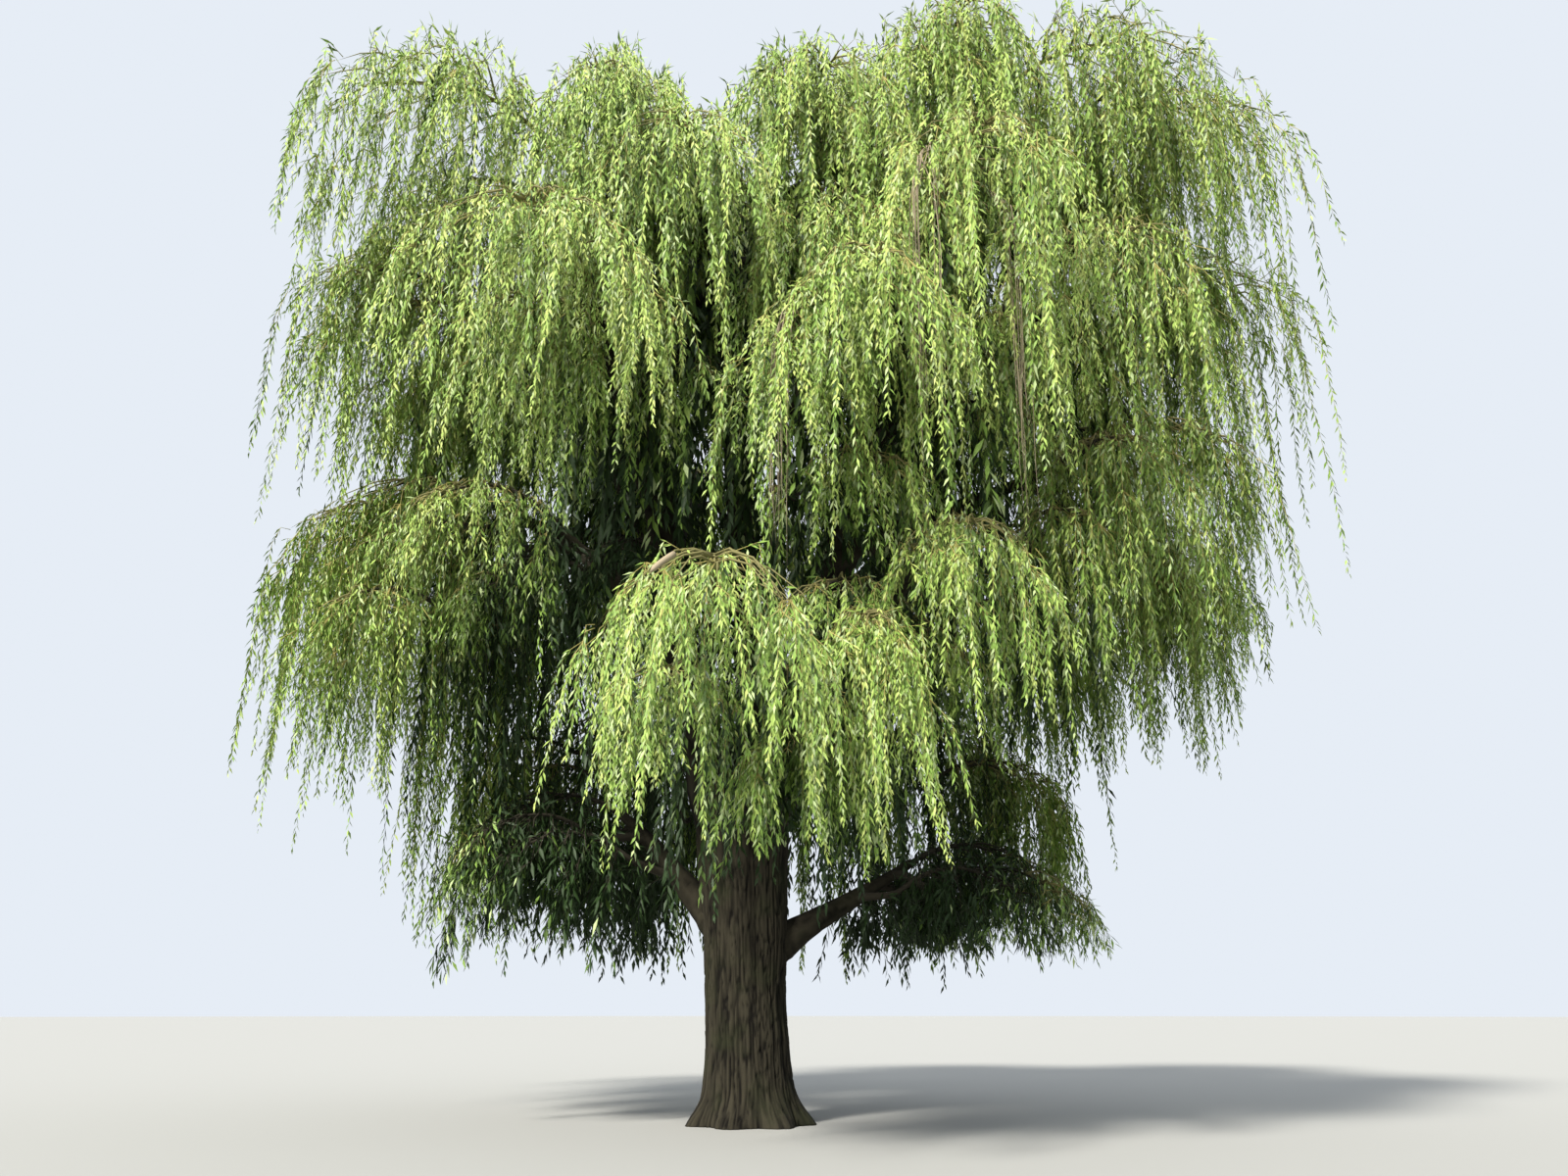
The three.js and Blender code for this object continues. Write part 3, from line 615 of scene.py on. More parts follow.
def hang_in_tresses(shoots, limb, starts, headings, kind, shade):
    """Long shoots in tresses, which end in ragged points at different heights."""
    count = len(starts)
    swings = drawn(kind.swings, count)
    axes, tress_reach = tresses_of(limb, starts + headings * swings[:, None])
    falls = drawn(kind.falls, count)
    drops = (starts[:, 2] - limb.hem) * tress_reach
    lifts = drawn(kind.lifts, count)
    if kind is FROM_ARM:
        drops = np.maximum(drops * falls**LONG_BIAS, LEAST_FALL)
        lifts[growth_seed.random(count) < HIGH_SHARE] += HIGH_LIFT
    else:
        drops = drops * falls
    pull = drawn(TRESS_PULL, count)
    depth = drawn(kind.shades, count) + shade - limb.light
    shoots.add(starts, headings, drops, swings, lifts, depth, limb.leaf_scale, (axes, pull))


def hang_from_arm(shoots, limb, arm, per_metre):
    """Long shoots from all but the start of an arm, more of them near its end."""
    heading, length = arm[1:3]
    broad = np.clip(limb.span / MIDDLE_SPAN, *BROAD_LIMITS)
    count = max(2, round(per_metre * length * broad))
    share = np.sort(drawn((ARM_BARE, 1), count)) ** LONG_BIAS
    share[-1] = 1
    headings = turned(heading, growth_seed.normal(*FROM_ARM.turns, count))
    hang_in_tresses(shoots, limb, arm_points(arm, share), headings, FROM_ARM, FOOT_SHADE * (1 - share))


def hang_from_stem(shoots, limb, per_metre):
    """Long shoots from all along the stem."""
    count = round(STEM_SHOOTS * per_metre * limb.span)
    starts = limb.stem_points(drawn((0, 1), count))
    headings = turned(limb.outward, drawn(FROM_STEM.turns, count))
    hang_in_tresses(shoots, limb, starts, headings, FROM_STEM, 0)


def spread_over_arm(spurs, limb, arm, per_metre):
    """Short shoots that stand out all along an arm and clothe the top of the drape."""
    heading, length = arm[1:3]
    count = max(3, round(per_metre * length * np.interp(limb.top, TUFT_HEIGHTS, TUFT_COUNTS)))
    starts = arm_points(arm, drawn((0, 1), count))
    spread_from(spurs, limb, starts, heading, SPURS.turns)


def spread_from(spurs, limb, starts, heading, turns):
    """Short shoots that rise a little from where they start and then arch over."""
    count = len(starts)
    headings = turned(heading, drawn(turns, count))
    size = np.interp(limb.top, TUFT_HEIGHTS, TUFT_SCALES)
    reach = [size * distance for distance in arched(SPURS, count)]
    depth = drawn(SPURS.shades, count) - limb.light
    spurs.add(starts, headings, *reach, depth, limb.leaf_scale)


def spread_over_stem(spurs, limb, per_metre):
    """Short shoots that clothe the stem and the last stretch of the bough."""
    count = round(STEM_SPURS * per_metre * limb.span)
    share = drawn((STEM_CLOTHED_FROM, 1), count)
    starts = np.where(share[:, None] > 0, limb.stem_points(share), limb.points(1 + share))
    spread_from(spurs, limb, starts, limb.outward, STEM_SPUR_TURNS)


def start_sprays(sprays, shoots, scale):
    """Sprays of short shoots that arch out from the upper half of some long ones."""
    chosen = np.flatnonzero(growth_seed.random(len(shoots)) < SPRAY_SHARE)
    place = drawn(SPRAY_PLACES, len(chosen)) * (shoots.shape[1] - 1)
    ring = place.astype(int)
    mix = (place - ring)[:, None]
    starts = shoots[chosen, ring] * (1 - mix) + shoots[chosen, ring + 1] * mix
    depth = np.repeat(drawn(SPRAYS.shades, len(chosen)), SPRAY_SHOOTS)
    starts = np.repeat(starts, SPRAY_SHOOTS, axis=0)
    count = len(starts)
    headings = turned(unit(starts * (1, 1, 0)), drawn(SPRAYS.turns, count))
    room = starts[:, 2] - np.repeat(shoots[chosen, -1, 2], SPRAY_SHOOTS)
    falls, swings, lifts = arched(SPRAYS, count)
    scale = np.repeat(scale[chosen], SPRAY_SHOOTS)
    sprays.add(starts, headings, np.minimum(falls, room), swings, lifts, depth, scale)


def hang_from_bough(shoots, limb, per_metre, scale):
    """Shoots with painted shade inside the crown, from all but the foot of the bough."""
    first = LOW_INNER_START if limb.name in LOW_LIMBS else INNER_START
    path = limb.points(np.linspace(first, 1, LENGTH_STEPS))
    length = np.linalg.norm(np.diff(path, axis=0), axis=1).sum()
    count = round(per_metre * length / (1 - first))
    share = drawn((first, 1), count)
    starts = limb.points(share)
    headings = turned(limb.outward, drawn(FROM_BOUGH.turns, count))
    room = np.maximum(starts[:, 2] - limb.hem, INNER_FALL)
    falls, swings, lifts = arched(FROM_BOUGH, count)
    depth = drawn(FROM_BOUGH.shades, count)
    shoots.add(starts, headings, room * falls, swings, lifts, depth, scale)


def clear_shoots(shoots, limbs):
    """The shoots that keep clear of the limbs and the trunk, apart from where they start."""
    kinds = shoots.joined()
    body = kinds[0][:, 1:]
    clear = np.ones(len(body), dtype=bool)
    for limb in limbs.values():
        axis = limb.points(AXIS_SHARES)
        room = limb.radii(AXIS_SHARES) + LIMB_ROOM
        gaps = np.linalg.norm(body[:, :, None, :] - axis, axis=-1) - room
        clear &= gaps.min(axis=(1, 2)) > 0
    beside = np.hypot(body[..., 0], body[..., 1]) < TRUNK_ROOM
    clear &= ~(beside & (body[..., 2] < TRUNK_TOP)).any(axis=1)
    return [kind[clear] for kind in kinds]


# Meshes from arrays


def tubes(points, ends, sideways, sides):
    """Vertices and triangles of pointed tubes, one along each row of points, with radii up to the point."""
    count, rings, _ = points.shape
    tangents = np.empty_like(points)
    tangents[:, 1:-1] = points[:, 2:] - points[:, :-2]
    tangents[:, 0] = points[:, 1] - points[:, 0]
    tangents[:, -1] = points[:, -1] - points[:, -2]
    tangents = unit(tangents)
    across = square_to(tangents, sideways[:, None, :])
    beside = np.cross(tangents, across)
    angles = (np.arange(sides) * 2 * math.pi / sides)[:, None]
    spread = across[:, :, None, :] * np.cos(angles) + beside[:, :, None, :] * np.sin(angles)
    walls = points[:, :-1, None, :] + spread[:, :-1] * np.linspace(*ends, rings - 1)[:, None, None]
    vertices = np.concatenate((walls.reshape(count, -1, 3), points[:, -1:]), axis=1)
    ring = np.arange(rings - 2)[:, None] * sides
    side = np.arange(sides)
    after = (side + 1) % sides
    quads = np.stack((ring + side, ring + after, ring + sides + after, ring + sides + side), axis=-1)
    quads = quads.reshape(-1, 4)
    start = np.stack((side[2:], side[1:-1], 0 * side[2:]), axis=1)
    tip = (rings - 1) * sides
    point = np.stack((tip - sides + side, tip - sides + after, tip + 0 * side), axis=1)
    triangles = np.concatenate((quads[:, (0, 1, 2)], quads[:, (0, 2, 3)], start, point))
    offsets = np.arange(count)[:, None, None] * (tip + 1)
    return vertices.reshape(-1, 3), (triangles + offsets).reshape(-1, 3)


def leaf_arrays(points, depth, scale, length, width, gap):
    """Folded leaves along each shoot: vertices, triangles and the tint of each leaf."""
    steps = np.linalg.norm(np.diff(points, axis=1), axis=2)
    lengths = steps.sum(axis=1)
    reached = np.concatenate((0 * steps[:, :1], np.cumsum(steps, axis=1)), axis=1) / lengths[:, None]
    bare = drawn(LEAF_BARE, len(points))
    counts = np.maximum(((lengths - bare) / (gap * scale)).astype(int), 1)
    shoot = np.repeat(np.arange(len(points)), counts)
    scale = scale[shoot]
    first = np.repeat(np.cumsum(counts) - counts, counts)
    number = np.arange(len(shoot)) - first
    total = len(shoot)
    place = bare[shoot] + (number + drawn(LEAF_PLACE_PLAY, total)) * gap * scale
    place = np.minimum(place / lengths[shoot], LAST_PLACE)
    ring = (reached[shoot] <= place[:, None]).sum(axis=1) - 1
    before, after = reached[shoot, ring], reached[shoot, ring + 1]
    mix = ((place - before) / np.maximum(after - before, TINY))[:, None]
    start, end = points[shoot, ring], points[shoot, ring + 1]
    roots = start + (end - start) * mix
    tangents = unit(end - start)
    turn = number * LEAF_TURN + drawn(LEAF_TURN_PLAY, total)
    turn += drawn(SHOOT_TURN_PLAY, len(points))[shoot]
    reference = np.stack((np.cos(turn), np.sin(turn), 0 * turn), axis=1)
    radial = square_to(tangents, reference)
    spread = drawn(LEAF_SPREAD, total)[:, None]
    directions = unit(tangents * np.cos(spread) + radial * np.sin(spread) - UP * LEAF_DROOP)
    near_tip = np.clip(place - (1 - SMALL_LEAVES), 0, SMALL_LEAVES) / SMALL_LEAVES
    size = drawn(LEAF_SIZES, total) * (1 - SMALL_LESS * near_tip)
    width = (scale * width * (1 - BROAD_PLAY + BROAD_PLAY * size))[:, None]
    size = (scale * length * size)[:, None]
    facing = unit(roots * (1, 1, 0)) + radial * FACE_OUT + UP * FACE_UP
    facing += growth_seed.normal(0, FACE_PLAY, (total, 3))
    facing = square_to(directions, facing)
    side = np.cross(directions, facing)
    middle = roots + directions * size * WIDEST_AT
    fold = facing * width * LEAF_FOLD
    corners = np.stack(
        (
            roots,
            middle + side * width / 2 + fold,
            roots + directions * size,
            middle - side * width / 2 + fold,
        ),
        axis=1,
    )
    base = np.arange(total)[:, None, None] * 4
    triangles = (base + np.array(((0, 1, 2), (0, 2, 3)))).reshape(-1, 3)
    tint = tints_of(points, shoot, place, depth)
    return corners.reshape(-1, 3), triangles, tint


def tints_of(points, shoot, place, depth):
    """Leaf colour by spray: the yellowest at young shoot tips and in painted light, the deepest inside as
    painted shade.
    """
    height = (points[shoot, 0, 2] - cad_low.z) / (cad_high.z - cad_low.z)
    shade = TINT_START + TINT_DEPTH * depth[shoot] - TINT_HEIGHT * (height - 0.5) - TINT_PLACE * place
    shade -= np.clip(place - (1 - YOUNG_LEAVES), 0, YOUNG_LEAVES)
    shade += drawn(SPRAY_TINT_PLAY, len(points))[shoot]
    shade += growth_seed.normal(0, LEAF_TINT_PLAY, len(shoot))
    deepest = TINTS - 1
    tint = np.clip((shade * TINTS).astype(int), 0, deepest)
    tint[(growth_seed.random(len(shoot)) < UNDERSIDE_SHARE) & (tint < deepest)] = TINTS
    return tint


class Joined:
    """Vertices, triangles and tints of many small shapes, for one mesh."""

    def __init__(self):
        self.vertices = []
        self.triangles = []
        self.tints = []
        self.total = 0

    def add(self, vertices, triangles, tints):
        """Tints are one for all, or one for each of the small shapes."""
        self.vertices.append(vertices)
        self.triangles.append(triangles + self.total)
        self.tints.append(np.repeat(tints, len(triangles) // np.size(tints)))
        self.total += len(vertices)

    def arrays(self):
        return [np.concatenate(kind) for kind in (self.vertices, self.triangles, self.tints)]


def mesh_object(name, vertices, triangles, tints, materials):
    """One object from arrays of vertices and triangles, and the material of each triangle."""
    mesh = bpy.data.meshes.new(name)
    mesh.vertices.add(len(vertices))
    mesh.vertices.foreach_set("co", vertices.astype(np.float32).ravel())
    mesh.loops.add(3 * len(triangles))
    mesh.loops.foreach_set("vertex_index", triangles.astype(np.int32).ravel())
    mesh.polygons.add(len(triangles))
    mesh.polygons.foreach_set("loop_start", np.arange(0, 3 * len(triangles), 3, dtype=np.int32))
    for material in materials:
        mesh.materials.append(material)
    mesh.polygons.foreach_set("material_index", tints.astype(np.int32))
    mesh.update(calc_edges=True)
    piece = bpy.data.objects.new(name, mesh)
    bpy.context.scene.collection.objects.link(piece)
    return piece


# Bark


def lattice_noise(around, along, cells, seed):
    """Smooth noise from 0 to 1 that closes on itself round a limb of so many cells."""
    column, row = np.floor(around), np.floor(along)
    blend_x, blend_y = around - column, along - row
    blend_x = blend_x * blend_x * (3 - 2 * blend_x)
    blend_y = blend_y * blend_y * (3 - 2 * blend_y)

    def corner(x, y):
        step_x, step_y = CHANCE_STEPS
        return scattered(np.mod(x, cells) * step_x + y * step_y + seed * ORDER_STEP)

    low = corner(column, row) * (1 - blend_x) + corner(column + 1, row) * blend_x
    high = corner(column, row + 1) * (1 - blend_x) + corner(column + 1, row + 1) * blend_x
    return low * (1 - blend_y) + high * blend_y


def furrows(angle, height, girth, width, seed):
    """How deep in a furrow each point of the bark lies, from 0 on a ridge to 1 at the bottom."""
    depth = 0
    drift_size, drift_rate = FURROW_DRIFT
    for share, scale in FURROW_SIZES:
        pairs = max(3, round(girth / (width * scale * 2)))
        cells = 2 * pairs
        around = angle / (2 * math.pi) * cells
        along = height / (width * scale * FURROW_LENGTH)
        drift = lattice_noise(around / 2, along * drift_rate, pairs, seed + 5) - 0.5
        value = lattice_noise(around, along + drift_size * drift, cells, seed + scale)
        ridge = np.clip(np.abs(2 * value - 1) / RIDGE_SHARE, 0, 1)
        depth = depth + share * (1 - ridge * ridge * (3 - 2 * ridge))
    return depth


def wrap_bark(name, grid, place):
    """A grid rolled into a closed tube. place gives the points, and how deep each lies in a furrow."""
    rings, sides = grid
    bpy.ops.object.select_all(action="DESELECT")
    bpy.ops.mesh.primitive_grid_add(x_subdivisions=sides, y_subdivisions=rings, size=2)
    piece = bpy.context.object
    piece.name = piece.data.name = name
    flat = np.empty(len(piece.data.vertices) * 3)
    piece.data.vertices.foreach_get("co", flat)
    flat = flat.reshape(-1, 3)
    points, depth = place((flat[:, 0] + 1) * math.pi, (flat[:, 1] + 1) / 2)
    piece.data.vertices.foreach_set("co", points.ravel())
    bark_depth = piece.data.attributes.new("furrow", "FLOAT", "POINT")
    bark_depth.data.foreach_set("value", depth)
    bpy.ops.object.mode_set(mode="EDIT")
    bpy.ops.mesh.select_all(action="SELECT")
    bpy.ops.mesh.remove_doubles(threshold=SEAM_GAP)
    bpy.ops.mesh.select_all(action="DESELECT")
    bpy.ops.mesh.select_non_manifold(extend=False)
    bpy.ops.mesh.edge_face_add()
    bpy.ops.mesh.select_all(action="SELECT")
    bpy.ops.mesh.normals_make_consistent(inside=False)
    bpy.ops.object.mode_set(mode="OBJECT")
    bpy.ops.object.shade_smooth()
    return piece


def lumps_of(angle, along, size, seed):
    """How far the bark's broad lumps stand out or in."""
    cells, rate, rise = size
    return rise * (lattice_noise(angle / (2 * math.pi) * cells, along * rate, cells, seed) - 0.5)


def trunk_place(settings):
    """Places on the surface of the trunk, with its root ridges and the bark's furrows."""

    def place(angle, share):
        height = share * TRUNK_TOP
        lump_seed, furrow_seed = TRUNK_SEEDS
        rounded = [np.interp(height + step, TRUNK_HEIGHTS, TRUNK_RADII) for step in ROUNDING_STEPS]
        fade = np.maximum(0, 1 - height / ROOT_RIDGE_HEIGHT) ** ROOT_RIDGE_FADE
        ridges = np.cos(ROOT_RIDGES * angle + ROOT_RIDGE_PHASE)
        radius = np.mean(rounded, axis=0) * (1 + ROOT_RIDGE_RISE * fade * ridges)
        radius = radius + lumps_of(angle, height, TRUNK_LUMPS, lump_seed) * np.clip(height, 0, 1)
        depth = furrows(angle, height, TRUNK_GIRTH, settings.furrow_width, furrow_seed)
        radius = radius + settings.furrow_depth * (FURROW_LEVEL - depth)
        x = radius * np.cos(angle) + TRUNK_LEAN * share
        return np.stack((x, radius * np.sin(angle), height), axis=1), depth

    return place


def bough_place(limb, settings):
    """Places on the surface of a bough: rings square to its axis, with the bark's furrows."""

    def place(angle, share):
        step = 1e-3
        axis = limb.points(share)
        tangent = unit(limb.points(share + step) - limb.points(share - step))
        across = square_to(tangent, np.cross(UP, limb.outward))
        beside = np.cross(tangent, across)
        radius = limb.radii(share)
        length = np.linalg.norm(limb.tip - limb.bends[0])
        girth = 2 * math.pi * limb.foot_radius
        along = share * length
        lumps = lumps_of(angle, along, BOUGH_LUMPS, limb.order)
        depth = furrows(angle, along, girth, settings.furrow_width * BOUGH_FURROWS, limb.order)
        thick = np.clip(radius / THICK_BOUGH, 0, 1)
        collar = COLLAR_SWELL * np.exp(-np.maximum(along - limb.buried, 0) / COLLAR_LENGTH)
        radius = radius * (1 + lumps + collar)
        radius = radius + settings.furrow_depth * BOUGH_FURROWS * thick * (FURROW_LEVEL - depth)
        spread = across * np.cos(angle)[:, None] + beside * np.sin(angle)[:, None]
        return axis + spread * radius[:, None], depth * thick**0.5

    return place


# Materials


def plain_material(name, colour, roughness, specular):
    material = bpy.data.materials.new(name)
    material.use_nodes = True
    shader = material.node_tree.nodes["Principled BSDF"]
    shader.inputs["Base Color"].default_value = (*colour, 1)
    shader.inputs["Roughness"].default_value = roughness
    shader.inputs["Specular IOR Level"].default_value = specular
    material.diffuse_color = (*colour, 1)
    return material


def leaf_materials(settings):
    # Lit and shaded copies of one leaf green: light, green, deep and shade are painted light and painted
    # shade. Young is partly the colour of young tips and partly painted light; underside is the leaves' own
    # paler back.
    colours = {
        "leaf_young": settings.young,
        "leaf_painted_light": settings.light,
        "leaf_green": settings.green,
        "leaf_painted_half_shade": settings.deep,
        "leaf_painted_shade": settings.shade,
        "leaf_underside": settings.underside,
    }
    return [plain_material(name, colour, *LEAF_FINISH) for name, colour in colours.items()]


def add_node(tree, kind, values):
    """A shader node with the values of its inputs."""
    node = tree.nodes.new(kind)
    for name, value in values.items():
        node.inputs[name].default_value = value
    return node


def bark_material(name, settings, moss):
    """Ridges and darker furrows, partly painted shade, with a fine grain and patches of green bloom."""
    material = plain_material(name, settings.ridge_colour_with_painted_shade, *BARK_FINISH)
    tree = material.node_tree
    link = tree.links.new
    shader = tree.nodes["Principled BSDF"]
    places = add_node(tree, "ShaderNodeTexCoord", {})
    stretch = add_node(tree, "ShaderNodeMapping", {"Scale": GRAIN_STRETCH})
    link(places.outputs["Object"], stretch.inputs["Vector"])
    grain = add_node(tree, "ShaderNodeTexNoise", BARK_GRAIN)
    link(stretch.outputs["Vector"], grain.inputs["Vector"])
    patches = add_node(tree, "ShaderNodeTexNoise", MOSS_PATCHES)
    link(places.outputs["Object"], patches.inputs["Vector"])

    depth = add_node(tree, "ShaderNodeAttribute", {})
    depth.attribute_name = "furrow"
    shaded = add_node(tree, "ShaderNodeMath", {1: GRAIN_SHADE})
    shaded.operation = "MULTIPLY_ADD"
    link(grain.outputs["Fac"], shaded.inputs[0])
    link(depth.outputs["Fac"], shaded.inputs[2])
    # darker towards the furrows: partly the bark's own darker furrows, partly painted shade in the creases
    tones = add_node(tree, "ShaderNodeValToRGB", {})
    ridge, furrow = tones.color_ramp.elements
    ridge.position = RIDGE_TONE_TO
    ridge.color = (*settings.ridge_colour_with_painted_shade, 1)
    furrow.color = (*settings.furrow_colour_with_painted_shade, 1)
    link(shaded.outputs["Value"], tones.inputs["Fac"])

    low, high = MOSS_SPREAD
    amount = add_node(tree, "ShaderNodeMapRange", {"From Min": low, "From Max": high, "To Max": moss})
    link(patches.outputs["Fac"], amount.inputs["Value"])
    tinted = add_node(tree, "ShaderNodeMix", {})
    tinted.data_type = "RGBA"
    tinted.inputs["B"].default_value = (*settings.moss_colour_with_painted_shade, 1)
    link(amount.outputs["Result"], tinted.inputs["Factor"])
    link(tones.outputs["Color"], tinted.inputs["A"])
    link(tinted.outputs["Result"], shader.inputs["Base Color"])

    bump = add_node(tree, "ShaderNodeBump", GRAIN_BUMP)
    link(grain.outputs["Fac"], bump.inputs["Height"])
    link(bump.outputs["Normal"], shader.inputs["Normal"])
    return material


# Settings


def length_property(name, description, default):
    return bpy.props.FloatProperty(
        name=name, description=description, default=default, min=0.0001, unit="LENGTH", precision=4
    )


def colour_property(name, description, default):
    return bpy.props.FloatVectorProperty(
        name=name, description=description, default=default, subtype="COLOR", size=3, min=0, max=1
    )


def number_property(name, description, default):
    return bpy.props.FloatProperty(name=name, description=description, default=default, min=0)


class WillowFoliageSettings(bpy.types.PropertyGroup):
    leaf_length: length_property("Leaf length", "Length of a full-grown leaf high in the crown", 0.18)
    leaf_width: length_property("Leaf width", "Width of a full-grown leaf high in the crown", 0.0385)
    leaf_gap: length_property("Leaf gap", "Distance between leaves along a hanging shoot", 0.052)
    shoots_per_metre: number_property("Shoots", "Hanging shoots on each metre of an arm", 1.65)
    spurs_per_metre: number_property("Short shoots", "Short shoots on each metre of an arm", 2)
    inner_per_metre: number_property("Inner shoots", "Shaded shoots on each metre of a bough", 2.7)
    inner_scale: number_property("Inner leaf scale", "Size of shaded leaves against sunlit ones", 1.9)
    shoot_radius: length_property("Shoot radius", "Radius of a hanging shoot where it starts", 0.007)
    # Light, green, deep and shade leaves are one green with painted light and painted shade, from full
    # light to the crown's inside. Young is partly the colour of young tips and partly painted light;
    # undersides are the leaves' own back.
    young: colour_property("Young leaves", "Leaves near the tips of sunlit shoots", (0.4, 0.475, 0.13))
    light: colour_property("Light leaves", "Leaves in full light", (0.3, 0.415, 0.09))
    green: colour_property("Green leaves", "Leaves between light and shade", (0.175, 0.285, 0.05))
    deep: colour_property("Deep green leaves", "Leaves in half shade", (0.07, 0.125, 0.02))
    shade: colour_property("Shaded leaves", "Leaves inside the crown", (0.018, 0.04, 0.009))
    underside: colour_property("Leaf undersides", "Leaves that show their back", (0.36, 0.45, 0.2))


class WillowBarkSettings(bpy.types.PropertyGroup):
    furrow_depth: length_property("Furrow depth", "Depth of the furrows in the trunk's bark", 0.04)
    furrow_width: length_property("Furrow width", "Distance between the trunk's furrows", 0.062)
    # The bark's own colours, darkened further as painted shade of the crown; the furrow colour is also
    # partly painted shade in the creases.
    ridge_colour_with_painted_shade: colour_property("Ridges", "Bark on the ridges", (0.033, 0.029, 0.019))
    furrow_colour_with_painted_shade: colour_property("Furrows", "Bark in the furrows", (0.0045, 0.0038, 0.0026))
    moss_colour_with_painted_shade: colour_property("Moss", "Green bloom on the bark", (0.024, 0.029, 0.012))
    twig_colour: colour_property("Arms", "Bark of the arching twigs", (0.17, 0.155, 0.06))
    shoot_colour: colour_property("Shoots", "Bark of the hanging shoots", (0.33, 0.29, 0.09))
    dead_colour: colour_property("Dead twigs", "Bare dead twigs", (0.34, 0.28, 0.19))


class WillowStageSettings(bpy.types.PropertyGroup):
    floor_colour: colour_property("Floor", "Pale floor", (0.36, 0.36, 0.345))
    sky_colour: colour_property("Surround", "Pale light all round", (0.86, 0.92, 1.0))
    sky_strength: number_property("Surround strength", "Strength of the light all round", 0.92)
    sun_strength: number_property("Key strength", "Strength of the key light", 7)


# Operators


class WILLOW_OT_add_trunk(bpy.types.Operator):
    """Wrap the trunk in furrowed bark, from the flared foot to the fork"""

    bl_idname = "willow.add_trunk"
    bl_label = "Add Trunk"

    def execute(self, context):
        settings = context.scene.willow_bark
        piece = wrap_bark("trunk_bark", TRUNK_GRID, trunk_place(settings))
        piece.data.materials.append(bark_material("trunk_bark", settings, TRUNK_MOSS))
        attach(piece, "root")
        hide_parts("trunk")
        return {"FINISHED"}


class WILLOW_OT_add_boughs(bpy.types.Operator):
    """Wrap each bough in bark that grows finer towards its tip"""

    bl_idname = "willow.add_boughs"
    bl_label = "Add Boughs"

    def execute(self, context):
        settings = context.scene.willow_bark
        bark = bark_material("bough_bark", settings, BOUGH_MOSS)
        limbs = grow_limbs()
        for title, chosen, grid in (("leader_bark", True, LEADER_GRID), ("bough_bark", False, BOUGH_GRID)):
            group = [limb for limb in limbs.values() if limb.is_leader == chosen]
            made = []
            for limb in group:
                made.append(wrap_bark(f"{title}_{limb.name}", grid, bough_place(limb, settings)))
            bpy.ops.object.select_all(action="DESELECT")
            for piece in made:
                piece.select_set(True)
            context.view_layer.objects.active = made[0]
            bpy.ops.object.join()
            piece = context.object
            piece.name = piece.data.name = title
            piece.data.materials.append(bark)
            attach(piece, "root")
            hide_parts(*[f"bough_{limb.name}" for limb in group])
        return {"FINISHED"}


